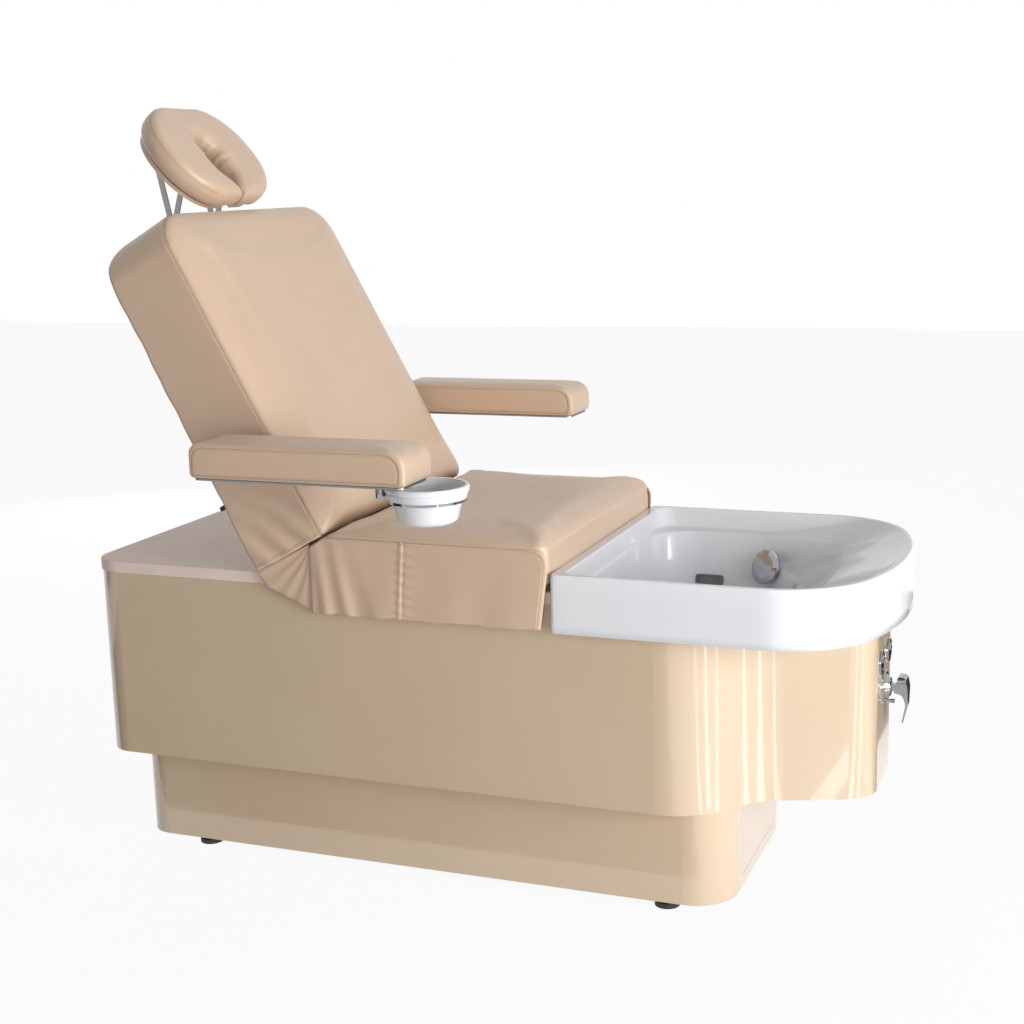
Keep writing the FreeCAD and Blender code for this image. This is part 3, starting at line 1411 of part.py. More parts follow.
save("fork_pin", rod(
    fork_pin_radius, fork_point - y_axis * fork_cheek_outer,
    fork_point + y_axis * fork_cheek_outer))

# Headrest guides: two tubes hung from the frame, with rods that slide in them
guide_radius = 10.0
guide_start = 650.0
guide_end = foam_reach - seat_gap
strut_half_width = 8.0
rod_start = 715.0
rod_past_end = 12.0
apex_past_end = 13.0
rod_end = backrest_length + rod_past_end
apex_reach = rod_end + apex_past_end
eye_radius = 9.0
bar_half_thickness = 2.0
eye_thickness = 5.0
eye_pin_radius = 4.0
guides = []
slide_rods = []
for side in both_sides:
    y = side * headrest_y
    guide = rod(
        guide_radius, flat_point(guide_start, y, rod_rise), flat_point(guide_end, y, rod_rise))
    for station in cross_stations[1:]:
        guide = guide.fuse(flat_block(
            station - frame_half, station + frame_half, y - strut_half_width,
            y + strut_half_width, rod_rise, -frame_half))
    guides.append(raised(guide.cut(rod(
        rod_radius + running_gap, flat_point(guide_start - overrun, y, rod_rise),
        flat_point(guide_end + overrun, y, rod_rise)))))
    slide_rod = rod(
        rod_radius, flat_point(rod_start, y, rod_rise), flat_point(rod_end, y, rod_rise))
    eye_inner = y + side * (bar_half_thickness + seat_gap)
    eye_outer = eye_inner + side * eye_thickness
    slide_rod = slide_rod.fuse(rod(
        eye_radius, flat_point(apex_reach, eye_inner, rod_rise),
        flat_point(apex_reach, eye_outer, rod_rise)))
    slide_rod = slide_rod.fuse(flat_block(
        rod_end - eye_radius, apex_reach, min(eye_inner, eye_outer), max(eye_inner, eye_outer),
        rod_rise - rod_radius, rod_rise + rod_radius))
    slide_rod = slide_rod.fuse(rod(
        eye_pin_radius, flat_point(apex_reach, y - side * eye_thickness, rod_rise),
        flat_point(apex_reach, eye_inner, rod_rise)))
    slide_rods.append(raised(slide_rod))
save("headrest_guides", *guides)
save("headrest_rods", *slide_rods)

# Headrest pieces are drawn level round the pillow's centre, foot end towards +X, and then tilted
headrest_turn = 49.5
pillow_half_width = 205.0
pillow_half_length = 152.0
pillow_half_height = 37.0
apex_x = 110.5
apex_drop = 156.3
platform_thickness = 11.0
platform_top = -pillow_half_height - seat_gap
platform_low = platform_top - platform_thickness
strip_thickness = 4.0
strip_low = platform_low - strip_thickness


def on_headrest(shape):
    placed = shape.copy()
    placed.translate(vector(-apex_x, 0, apex_drop))
    placed.rotate(zero_point, y_axis, headrest_turn)
    placed.translate(raised_point(apex_reach, 0, rod_rise))
    return placed


bar_half_width = 7.5
strip_rear_x = -90.0
strip_foot_x = 62.0
strip_width = 22.0
rear_bar_x = -75.0
front_bar_x = 45.7


def side_bar(top_x, y_low, y_high):
    # A flat bar from the apex up to the strip under the platform.
    start = vector(apex_x, 0, -apex_drop)
    end = vector(top_x, 0, strip_low - bar_half_width / 2)
    along = (end - start).normalize()
    across = vector(-along.z, 0, along.x) * bar_half_width
    corners = [start - across, end - across, end + across, start + across]
    wire = Part.makePolygon([point + y_axis * y_low for point in corners + corners[:1]])
    return Part.Face(wire).extrude(y_axis * (y_high - y_low))


brackets = []
for side in both_sides:
    y_low = side * headrest_y - bar_half_thickness
    y_high = side * headrest_y + bar_half_thickness
    apex_near = vector(apex_x, y_low, -apex_drop)
    apex_far = vector(apex_x, y_high, -apex_drop)
    strip_y = y_low if side > 0 else y_high - strip_width
    bars = [
        side_bar(rear_bar_x, y_low, y_high), side_bar(front_bar_x, y_low, y_high),
        rod(eye_radius, apex_near, apex_far),
        block(strip_rear_x, strip_foot_x, strip_y, strip_y + strip_width, strip_low, platform_low),
        block(strip_rear_x, strip_foot_x, y_low, y_high, strip_low - bar_half_width, strip_low)]
    bracket_side = fuse_all(bars).cut(rod(
        eye_pin_radius + running_gap, apex_near - y_axis * overrun, apex_far + y_axis * overrun))
    brackets.append(on_headrest(bracket_side))
save("headrest_brackets", *brackets)

# Platform and pillow, both open towards the foot end between two rounded arms
pillow_corner = 145.0
hole_rear_x = -46.0
hole_half_width = 50.0
hole_radius = 46.0
hole_waist_x = 62.0
hole_waist_half = 40.0
hole_waist_radius = 60.0
tip_x = 118.0
tip_half_gap = 4.0
tip_radius = 20.0
platform_inset = 22.0
platform_hole_grow = 14.0
pillow_outline = [
    (-pillow_half_length, -pillow_half_width, pillow_corner),
    (pillow_half_length, -pillow_half_width, pillow_corner),
    (pillow_half_length, pillow_half_width, pillow_corner),
    (-pillow_half_length, pillow_half_width, pillow_corner)]
hole_outline = mirrored([
    (hole_rear_x, -hole_half_width, hole_radius), (hole_waist_x, -hole_waist_half, hole_waist_radius),
    (tip_x, -tip_half_gap, tip_radius), (pillow_half_length * 2, -tip_half_gap, 0)])
# Rounding of the pillow's edges: shares of the half height, and shares of the full inset
pillow_round = 24.0
pillow_round_shares = (
    (-1.0, 1.0), (-0.86, 0.45), (-0.5, 0.1), (0.0, 0.0), (0.5, 0.1), (0.84, 0.45), (1.0, 1.0))
pillow_levels = []
hole_levels = []
for height_share, inset_share in pillow_round_shares:
    level_z = pillow_half_height * height_share
    pillow_levels.append((inset(pillow_outline, pillow_round * inset_share), level_z))
    hole_levels.append((inset(hole_outline, -pillow_round * inset_share), level_z))
lowest_hole = (hole_levels[0][0], -pillow_half_height - overrun)
highest_hole = (hole_levels[-1][0], pillow_half_height + overrun)
pillow = loft(pillow_levels)
pillow = pillow.cut(loft([lowest_hole] + hole_levels + [highest_hole]))
save("headrest_pillow", on_headrest(pillow))

platform = prism(inset(pillow_outline, platform_inset), platform_low, platform_top)
platform = platform.cut(prism(
    inset(hole_outline, -platform_hole_grow), platform_low - overrun, platform_top + overrun))
save("headrest_platform", on_headrest(platform))
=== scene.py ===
import math

import bmesh
import bpy
from mathutils import Matrix, Vector
from mathutils.bvhtree import BVHTree
from mathutils.kdtree import KDTree


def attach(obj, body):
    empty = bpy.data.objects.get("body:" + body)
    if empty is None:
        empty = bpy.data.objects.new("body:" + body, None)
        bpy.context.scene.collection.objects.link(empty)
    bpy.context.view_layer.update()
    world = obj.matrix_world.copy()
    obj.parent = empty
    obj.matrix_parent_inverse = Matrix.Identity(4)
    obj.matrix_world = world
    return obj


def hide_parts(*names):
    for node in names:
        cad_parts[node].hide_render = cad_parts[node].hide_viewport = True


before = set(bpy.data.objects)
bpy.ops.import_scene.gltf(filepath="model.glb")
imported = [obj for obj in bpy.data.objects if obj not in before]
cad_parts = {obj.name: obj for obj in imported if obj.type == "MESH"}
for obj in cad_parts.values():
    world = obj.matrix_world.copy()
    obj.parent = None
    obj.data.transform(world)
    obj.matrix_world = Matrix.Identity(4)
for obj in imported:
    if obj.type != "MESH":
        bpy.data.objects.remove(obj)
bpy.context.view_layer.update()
scene = bpy.context.scene
scene.view_settings.view_transform = "Standard"

# The room: a plain pale floor under a pale sky, soft lamps, and the camera where the
# photographer stood. The floor fades into the background but keeps the bed's shadow.


def new_piece(name, blank):
    mesh = bpy.data.meshes.new(name)
    blank.to_mesh(mesh)
    blank.free()
    piece = bpy.data.objects.new(name, mesh)
    scene.collection.objects.link(piece)
    return piece


floor_half = 14.0
floor_mesh = bmesh.new()
bmesh.ops.create_grid(floor_mesh, x_segments=2, y_segments=2, size=floor_half)
floor = new_piece("floor", floor_mesh)


def shader_of(finish):
    return finish.node_tree.nodes["Principled BSDF"]


floor_paint = bpy.data.materials.new("studio_floor")
floor_paint.use_nodes = True
floor_tree = floor_paint.node_tree
floor_shader = shader_of(floor_paint)
floor_shader.inputs["Base Color"].default_value = (0.82, 0.82, 0.82, 1.0)
floor_shader.inputs["Roughness"].default_value = 0.65
floor_shader.inputs["Specular IOR Level"].default_value = 0.15
floor_glow = floor_tree.nodes.new("ShaderNodeEmission")
floor_glow.inputs["Color"].default_value = (1.0, 1.0, 1.0, 1.0)


def background_rays(tree):
    # One where a ray comes from the camera, a mirror surface or glass, and zero elsewhere.
    rays = tree.nodes.new("ShaderNodeLightPath")
    either = rays.outputs["Is Camera Ray"]
    for kind in ("Is Glossy Ray", "Is Transmission Ray"):
        largest = tree.nodes.new("ShaderNodeMath")
        largest.operation = "MAXIMUM"
        tree.links.new(either, largest.inputs[0])
        tree.links.new(rays.outputs[kind], largest.inputs[1])
        either = largest.outputs[0]
    return either


floor_seen = floor_tree.nodes.new("ShaderNodeMath")
floor_seen.operation = "MULTIPLY"
floor_seen.inputs[1].default_value = 0.93
floor_mix = floor_tree.nodes.new("ShaderNodeMixShader")
floor_tree.links.new(background_rays(floor_tree), floor_seen.inputs[0])
floor_tree.links.new(floor_seen.outputs[0], floor_mix.inputs[0])
floor_tree.links.new(floor_shader.outputs[0], floor_mix.inputs[1])
floor_tree.links.new(floor_glow.outputs[0], floor_mix.inputs[2])
floor_tree.links.new(floor_mix.outputs[0], floor_tree.nodes["Material Output"].inputs["Surface"])
floor.data.materials.append(floor_paint)

sky = bpy.data.worlds.new("studio_sky")
scene.world = sky
sky.use_nodes = True
sky_tree = sky.node_tree
sky_light = sky_tree.nodes["Background"]
sky_light.inputs["Color"].default_value = (1.0, 0.99, 0.98, 1.0)
sky_light.inputs["Strength"].default_value = 0.26
sky_seen = sky_tree.nodes.new("ShaderNodeBackground")
sky_seen.inputs["Color"].default_value = (1.0, 1.0, 1.0, 1.0)
sky_seen.inputs["Strength"].default_value = 1.0
sky_mix = sky_tree.nodes.new("ShaderNodeMixShader")
sky_tree.links.new(background_rays(sky_tree), sky_mix.inputs[0])
sky_tree.links.new(sky_light.outputs[0], sky_mix.inputs[1])
sky_tree.links.new(sky_seen.outputs[0], sky_mix.inputs[2])
sky_tree.links.new(sky_mix.outputs[0], sky_tree.nodes["World Output"].inputs["Surface"])


def softbox(name, place, target, wide, tall, watts):
    lamp = bpy.data.lights.new(name, "AREA")
    lamp.shape = "RECTANGLE"
    lamp.size = wide
    lamp.size_y = tall
    lamp.energy = watts
    holder = bpy.data.objects.new(name, lamp)
    holder.location = place
    holder.rotation_euler = (Vector(target) - Vector(place)).to_track_quat("-Z", "Y").to_euler()
    scene.collection.objects.link(holder)
    return holder


softbox("lamp_right", (5.0, -2.0, 1.35), (0.2, 0.0, 0.8), 2.6, 2.2, 255.0)
softbox("lamp_strip", (3.3, -3.1, 1.1), (0.6, -0.3, 0.6), 0.16, 1.9, 9.0)
softbox("lamp_front", (1.4, -4.7, 1.2), (0.3, 0.0, 0.7), 1.8, 1.4, 36.0)
softbox("lamp_over", (0.2, 0.4, 4.2), (0.0, 0.0, 0.6), 2.6, 2.6, 13.0)
lamp_back = softbox("lamp_back", (-2.9, 4.4, 1.3), (0.0, 0.0, 0.7), 2.8, 2.0, 105.0)
lamp_back.visible_glossy = False

# Black cards and thin white strips that glow stand and lie round the set, as in a studio. Only
# mirror surfaces see them, so chrome, steel and lacquer reflect dark things and painted highlight
# streaks.
card_black = bpy.data.materials.new("card_black")
card_black.use_nodes = True
black_shader = shader_of(card_black)
black_shader.inputs["Base Color"].default_value = (0.03, 0.03, 0.03, 1.0)
black_shader.inputs["Roughness"].default_value = 0.9
# The white strips glow though they are no lamps: painted highlight streaks for the mirror surfaces.
glowing_strip_card = bpy.data.materials.new("glowing_strip_card")
glowing_strip_card.use_nodes = True
white_shader = shader_of(glowing_strip_card)
white_shader.inputs["Base Color"].default_value = (0.9, 0.9, 0.9, 1.0)
white_shader.inputs["Emission Color"].default_value = (1.0, 1.0, 1.0, 1.0)
white_shader.inputs["Emission Strength"].default_value = 4.0
for name, place, turn, tip, wide, tall, card_paint in (
        ("card_left", (-3.4, -1.6, 1.2), 90.0, 90.0, 2.6, 2.2, card_black),
        ("card_camera", (1.9, -5.4, 1.5), 0.0, 90.0, 1.6, 2.4, card_black),
        ("card_far", (4.2, 0.9, 1.0), 80.0, 90.0, 0.9, 1.8, card_black),
        ("card_floor_near", (-1.1, -2.5, 0.002), 0.0, 0.0, 3.6, 4.0, card_black),
        ("card_floor_far", (2.1, 1.65, 0.002), 0.0, 0.0, 2.0, 2.6, card_black),
        ("streak_left", (1.95, -1.62, 0.003), -47.0, 0.0, 2.4, 0.055, glowing_strip_card),
        ("streak_middle", (2.28, -1.20, 0.003), -30.0, 0.0, 2.4, 0.10, glowing_strip_card),
        ("streak_right", (2.45, -0.60, 0.003), -9.0, 0.0, 2.4, 0.07, glowing_strip_card)):
    card_mesh = bmesh.new()
    bmesh.ops.create_grid(
        card_mesh, x_segments=1, y_segments=1, size=0.5,
        matrix=Matrix.Translation(place) @ Matrix.Rotation(math.radians(turn), 4, "Z")
        @ Matrix.Rotation(math.radians(tip), 4, "X") @ Matrix.Diagonal((wide, tall, 1.0, 1.0)))
    card = new_piece(name, card_mesh)
    card.data.materials.append(card_paint)
    card.visible_camera = False
    card.visible_diffuse = False
    card.visible_shadow = False
    card.visible_transmission = False

# The camera: its place, direction and lens were solved from the photo's straight edges. The
# shifts put the middle of the picture where the photo has it.
camera_place = Vector((1.4990, -3.7423, 1.6938))
yaw = math.radians(21.6)
pitch = math.radians(-11.2)
roll = math.radians(-1.5)
ahead = Vector((-math.sin(yaw) * math.cos(pitch), math.cos(yaw) * math.cos(pitch), math.sin(pitch)))
level_right = ahead.cross(Vector((0.0, 0.0, 1.0))).normalized()
level_up = level_right.cross(ahead)
camera_right = level_right * math.cos(roll) + level_up * math.sin(roll)
camera_up = level_up * math.cos(roll) - level_right * math.sin(roll)
camera_data = bpy.data.cameras.new("camera")
camera_data.sensor_width = 36.0
camera_data.lens = 57.54
camera_data.shift_x = -0.0033
camera_data.shift_y = -0.0109
camera = bpy.data.objects.new("camera", camera_data)
camera_turn = Matrix((camera_right, camera_up, -ahead)).transposed().to_4x4()
camera.matrix_world = Matrix.Translation(camera_place) @ camera_turn
scene.collection.objects.link(camera)
scene.camera = camera

# Plinth, upper cabinet and access panel: boards sprayed with beige lacquer and polished to a
# gloss. They are glued and dowelled shells, and the panel lifts out for the pipework.


def finish_named(name, colour, roughness, metal=0.0):
    finish = bpy.data.materials.new(name)
    finish.use_nodes = True
    shader = shader_of(finish)
    shader.inputs["Base Color"].default_value = (*colour, 1.0)
    shader.inputs["Roughness"].default_value = roughness
    shader.inputs["Metallic"].default_value = metal
    return finish


def noise_in(finish, scale, detail, stretch=(1.0, 1.0, 1.0)):
    tree = finish.node_tree
    place = tree.nodes.new("ShaderNodeTexCoord")
    spread = tree.nodes.new("ShaderNodeMapping")
    spread.inputs["Scale"].default_value = stretch
    noise = tree.nodes.new("ShaderNodeTexNoise")
    noise.inputs["Scale"].default_value = scale
    noise.inputs["Detail"].default_value = detail
    tree.links.new(place.outputs["Object"], spread.inputs["Vector"])
    tree.links.new(spread.outputs["Vector"], noise.inputs["Vector"])
    return noise.outputs["Fac"]


def vary_colour(finish, dark, light, scale, detail=4.0, stretch=(1.0, 1.0, 1.0)):
    tree = finish.node_tree
    ramp = tree.nodes.new("ShaderNodeValToRGB")
    ramp.color_ramp.elements[0].position = 0.30
    ramp.color_ramp.elements[1].position = 0.70
    ramp.color_ramp.elements[0].color = (*dark, 1.0)
    ramp.color_ramp.elements[1].color = (*light, 1.0)
    tree.links.new(noise_in(finish, scale, detail, stretch), ramp.inputs["Fac"])
    tree.links.new(ramp.outputs["Color"], shader_of(finish).inputs["Base Color"])


def vary_gloss(finish, smooth, rough, scale, detail=5.0, stretch=(1.0, 1.0, 1.0)):
    tree = finish.node_tree
    spread = tree.nodes.new("ShaderNodeMapRange")
    spread.inputs["From Min"].default_value = 0.30
    spread.inputs["From Max"].default_value = 0.70
    spread.inputs["To Min"].default_value = smooth
    spread.inputs["To Max"].default_value = rough
    tree.links.new(noise_in(finish, scale, detail, stretch), spread.inputs["Value"])
    tree.links.new(spread.outputs["Result"], shader_of(finish).inputs["Roughness"])


def emboss(finish, height, strength, depth):
    tree = finish.node_tree
    bump = tree.nodes.new("ShaderNodeBump")
    bump.inputs["Strength"].default_value = strength
    bump.inputs["Distance"].default_value = depth
    tree.links.new(height, bump.inputs["Height"])
    shader = shader_of(finish)
    if shader.inputs["Normal"].links:
        tree.links.new(shader.inputs["Normal"].links[0].from_socket, bump.inputs["Normal"])
    tree.links.new(bump.outputs["Normal"], shader.inputs["Normal"])


def dress(finish, slot, *nodes):
    for node in nodes:
        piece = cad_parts[node]
        piece.data.materials.clear()
        piece.data.materials.append(finish)


lacquer = finish_named("beige_lacquer", (0.61, 0.475, 0.335), 0.16)
vary_colour(lacquer, (0.595, 0.460, 0.322), (0.625, 0.490, 0.350), 2.4)
vary_gloss(lacquer, 0.13, 0.20, 6.0)
shader_of(lacquer).inputs["Coat Weight"].default_value = 0.85
shader_of(lacquer).inputs["Coat Roughness"].default_value = 0.04
emboss(lacquer, noise_in(lacquer, 18.0, 1.0), 0.035, 0.003)
dress(lacquer, "cream_lacquer", "plinth", "upper_cabinet", "access_panel")

# Deck board: a board under matt taupe laminate, screwed down over the rear of the cabinet. Its
# lower edge rests on the cabinet's walls, and the gas spring's arm passes through its slot.
laminate = finish_named("taupe_laminate", (0.78, 0.63, 0.555), 0.42)
vary_colour(laminate, (0.760, 0.612, 0.538), (0.800, 0.648, 0.572), 9.0, 6.0, (1.0, 3.0, 1.0))
vary_gloss(laminate, 0.36, 0.50, 30.0)
emboss(laminate, noise_in(laminate, 700.0, 2.0), 0.10, 0.0004)
dress(laminate, "taupe_laminate", "deck_board")

# Underframe: welded square steel tube in dark grey powder coat, with the small steel parts
# that are welded or bolted to it under the deck and behind the backrest.
coated_steel = finish_named("grey_powder_coat", (0.085, 0.088, 0.092), 0.52)
vary_colour(coated_steel, (0.070, 0.073, 0.077), (0.105, 0.108, 0.112), 22.0)
vary_gloss(coated_steel, 0.45, 0.62, 40.0)
emboss(coated_steel, noise_in(coated_steel, 900.0, 2.0), 0.25, 0.0004)
dress(coated_steel, "frame_steel", "frame_rails", "frame_posts", "frame_crossbars",
      "spring_brackets", "hinge_blocks", "backrest_frame", "armrest_brackets", "headrest_guides",
      "lever_bearing")

# Plywood boards: the cabinet's floor, the cradle under the well, and the boards that carry
# the cushions. Birch faces with darker streaks of grain.
plywood = finish_named("birch_plywood", (0.62, 0.47, 0.30), 0.55)
vary_colour(plywood, (0.55, 0.40, 0.24), (0.68, 0.53, 0.35), 7.0, 6.0, (1.0, 9.0, 30.0))
vary_gloss(plywood, 0.48, 0.66, 18.0)
emboss(plywood, noise_in(plywood, 60.0, 6.0, (1.0, 9.0, 30.0)), 0.2, 0.0006)
dress(plywood, "plywood", "cabinet_floor", "seat_board", "backrest_board", "basin_cradle")

# Levelling feet: black rubber pads on threaded stems, with lock nuts under the base rails. They
# carry the whole weight and keep the plinth's hem off a wet floor.
rubber = finish_named("black_rubber", (0.016, 0.016, 0.017), 0.60)
vary_colour(rubber, (0.012, 0.012, 0.013), (0.028, 0.028, 0.029), 60.0)
vary_gloss(rubber, 0.50, 0.72, 80.0)
emboss(rubber, noise_in(rubber, 1200.0, 2.0), 0.3, 0.0003)
dress(rubber, "foot_rubber", "levelling_feet")

# Basin and bowl: white acrylic, vacuum formed and polished, so that it reflects like glaze. The
# basin is one sheet with a wall, laid in rings from the apron's hem over the rim to the drain.
acrylic = finish_named("white_acrylic", (0.74, 0.75, 0.775), 0.14)
vary_colour(acrylic, (0.730, 0.740, 0.766), (0.752, 0.761, 0.784), 3.0)
vary_gloss(acrylic, 0.09, 0.18, 12.0)
shader_of(acrylic).inputs["Coat Weight"].default_value = 0.3
shader_of(acrylic).inputs["Coat Roughness"].default_value = 0.05
shader_of(acrylic).inputs["Specular IOR Level"].default_value = 0.35
emboss(acrylic, noise_in(acrylic, 30.0, 2.0), 0.04, 0.002)
dress(acrylic, "white_acrylic", "bowl")
basin_seat_x = 0.253
basin_foot_x = 0.995
basin_half_width = 0.404
basin_length = basin_foot_x - basin_seat_x
basin_thickness = 0.006
basin_rim_z = 0.818
rim_bend_share = 0.4137
rim_corner_radius = 0.012
rim_outer_round = 0.005
rim_inner_round = 0.004
rim_width = 0.012
rim_seat_width = 0.029
rim_seat_radius = 0.030
apron_hem_z = 0.683
apron_lean = 0.005
seat_step_x = 0.2532
seat_step_half_width = 0.3945
seat_step_z = 0.692
drain_x = 0.470
drain_hole_radius = 0.026
well_floor_z = 0.600
well_ease = 14
band_turn_x = 0.56
band_turn_length = 0.30
band_reach_side = 0.36
band_reach_foot = 0.10
band_foot_z = 0.7715
band_foot_rise = 0.0400
band_foot_round = 0.007
flat_rows = 6
bend_rows = 5
basin_rim_corners = [(0.253, -0.404, rim_corner_radius), (0.901, -0.404, 0.226),
                     (0.990, -0.124, 0.760)]
# Height, where the sides begin to narrow, the near corners and how far the edge is rounded. All
# but heights and rounding are shares of the basin's length and half width.
well_levels = (
    (0.766, 0.4137, ((0.0499, 0.8639, 0.2376), (0.7453, 0.7054, 0.1832), (0.7642, 0.2970, 1.2376)),
     0.0045),
    (0.702, 0.3329, ((0.0593, 0.8057, 0.2277), (0.5404, 0.7772, 0.2475), (0.6590, 0.3960, 0.2970)),
     0.018),
    (0.697, 0.3059, ((0.0606, 0.8007, 0.2252), (0.4596, 0.7921, 0.2871), (0.6024, 0.3911, 0.2723)),
     0.016),
    (0.634, 0.2992, ((0.0822, 0.7426, 0.2079), (0.4515, 0.7351, 0.2624), (0.5836, 0.3762, 0.2475)),
     0.022),
    (0.600, 0.2857, ((0.1240, 0.6634, 0.1733), (0.4340, 0.6559, 0.2178), (0.5458, 0.3416, 0.2079)),
     0.022))


def rim_inset(gap, seat_gap, seat_radius):
    # The rim's outline moved inwards, with the seat end at a place and corner of its own.
    turn_x, side_y, turn_radius = basin_rim_corners[1]
    crown_x, crown_y, crown_radius = basin_rim_corners[2]
    run = Vector((crown_x - turn_x, crown_y - side_y)).normalized()
    moved = Vector((turn_x, side_y)) + Vector((-run.y, run.x)) * gap
    to_side = (side_y + gap - moved.y) / run.y
    to_crown = (crown_x - gap - moved.x) / run.x
    return [(basin_seat_x + seat_gap, side_y + gap, seat_radius),
            (moved.x + run.x * to_side, side_y + gap, turn_radius - gap),
            (crown_x - gap, moved.y + run.y * to_crown, crown_radius - gap)]


def rounded(before, corner, after, radius, count):
    back = (before - corner).normalized()
    on = (after - corner).normalized()
    half = back.angle(on) / 2.0
    reach = radius / math.tan(half)
    centre = corner + (back + on).normalized() * (radius / math.sin(half))
    first = corner + back * reach - centre
    last = corner + on * reach - centre
    return [centre + first.slerp(last, step / count) * first.length for step in range(count + 1)]


def evenly(start, end, count):
    return [start.lerp(end, step / count) for step in range(1, count)]


def ring_round(corners, bend_share, z, ease):
    # One loop round the basin, from the middle of the seat end by the near side and back.
    seat, turn, crown = [Vector(corner[:2]) for corner in corners]
    middle = Vector((seat.x, 0.0))
    bend = Vector((basin_seat_x + bend_share * basin_length, seat.y))
    far_crown = Vector((crown.x, -crown.y))
    seat_arc = rounded(middle, seat, bend, corners[0][2], 10)
    turn_arc = rounded(bend, turn, crown, corners[1][2], 24)
    crown_arc = rounded(turn, crown, far_crown, corners[2][2], 14)
    half = [middle] + evenly(middle, seat_arc[0], 16) + seat_arc
    half += evenly(seat_arc[-1], bend, 18) + [bend] + evenly(bend, turn_arc[0], 14) + turn_arc
    half += evenly(turn_arc[-1], crown_arc[0], 8) + crown_arc
    half += evenly(crown_arc[-1], Vector((crown.x, 0.0)), 8) + [Vector((crown.x, 0.0))]
    ring = half + [Vector((place.x, -place.y)) for place in reversed(half[1:-1])]
    for turn in range(ease):
        ring = [(ring[index - 1] + ring[index] * 2.0 + ring[(index + 1) % len(ring)]) / 4.0
                for index in range(len(ring))]
    return [Vector((place.x, place.y, z)) for place in ring]


basin_levels = []
for gap, seat_gap, seat_radius, z, rounding in (
        (-apron_lean, 0.0, rim_corner_radius, apron_hem_z, 0.0),
        (0.0, 0.0, rim_corner_radius, basin_rim_z, rim_outer_round),
        (rim_width, rim_seat_width, rim_seat_radius, basin_rim_z, rim_inner_round)):
    corners = rim_inset(gap, seat_gap, seat_radius)
    basin_levels.append((ring_round(corners, rim_bend_share, z, 0), rounding))
band_foot = []
for z, bend_share, shares, rounding in well_levels:
    corners = [
        (basin_seat_x + along * basin_length, -basin_half_width * across,
         basin_half_width * radius)
        for along, across, radius in shares]
    ring = ring_round(corners, bend_share, z, well_ease)
    if not band_foot:
        # A steep band under the rim ends in a narrow ledge, which widens to a slope at the foot.
        for rim_place, shelf_place in zip(basin_levels[-1][0], ring):
            to_foot = max(0.0, min(1.0, (rim_place.x - band_turn_x) / band_turn_length))
            to_foot = to_foot * to_foot * (3.0 - 2.0 * to_foot)
            place = rim_place.lerp(
                shelf_place, band_reach_side - (band_reach_side - band_reach_foot) * to_foot)
            place.z = band_foot_z + band_foot_rise * to_foot
            band_foot.append(place)
        basin_levels.append((band_foot, band_foot_round))
    basin_levels.append((ring, rounding))
drain_middle = Vector((drain_x, 0.0, well_floor_z))
basin_levels.append((
    [drain_middle + (place - drain_middle).normalized() * drain_hole_radius
     for place in basin_levels[-1][0]], 0.0))


def straight_rows(last, ring):
    return [[start.lerp(end, step / flat_rows) for start, end in zip(last, ring)]
            for step in range(1, flat_rows + 1)]


basin_rows = [basin_levels[0][0]]
for index in range(1, len(basin_levels)):
    ring, rounding = basin_levels[index]
    before = basin_levels[index - 1][0]
    last = basin_rows[-1]
    if index == len(basin_levels) - 1:
        basin_rows += straight_rows(last, ring)
        break
    after = basin_levels[index + 1][0]
    enter = []
    leave = []
    for behind, place, ahead_of in zip(before, ring, after):
        reach = min(rounding, 0.45 * (behind - place).length, 0.45 * (ahead_of - place).length)
        enter.append(place + (behind - place).normalized() * reach)
        leave.append(place + (ahead_of - place).normalized() * reach)
    basin_rows += straight_rows(last, enter)
    for step in range(1, bend_rows + 1):
        share = step / bend_rows
        basin_rows.append([
            start.lerp(place, share).lerp(place.lerp(end, share), share)
            for start, place, end in zip(enter, ring, leave)])

basin_shell = bmesh.new()
basin_columns = len(basin_rows[0])
bmesh.ops.create_grid(
    basin_shell, x_segments=basin_columns, y_segments=len(basin_rows) - 1, size=0.5)
for vertex in basin_shell.verts:
    column = round((vertex.co.x + 0.5) * basin_columns) % basin_columns
    row = round((vertex.co.y + 0.5) * (len(basin_rows) - 1))
    vertex.co = basin_rows[row][column]
bmesh.ops.remove_doubles(basin_shell, verts=basin_shell.verts, dist=0.000001)
for vertex in basin_shell.verts:
    # The hem stops short over the cabinet's step at the seat end.
    if vertex.co.x < seat_step_x and abs(vertex.co.y) < seat_step_half_width:
        vertex.co.z = max(vertex.co.z, seat_step_z)
bmesh.ops.recalc_face_normals(basin_shell, faces=basin_shell.faces)
basin_piece = new_piece("basin_shell", basin_shell)
rim_face = max(basin_piece.data.polygons, key=lambda face: face.center.z)
if rim_face.normal.z < 0.0:
    basin_piece.data.flip_normals()
basin_piece.data.shade_smooth()
basin_piece.data.materials.append(acrylic)
basin_wall = basin_piece.modifiers.new("wall", "SOLIDIFY")
basin_wall.thickness = basin_thickness
basin_wall.offset = -1.0
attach(basin_piece, "base")
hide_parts("basin")
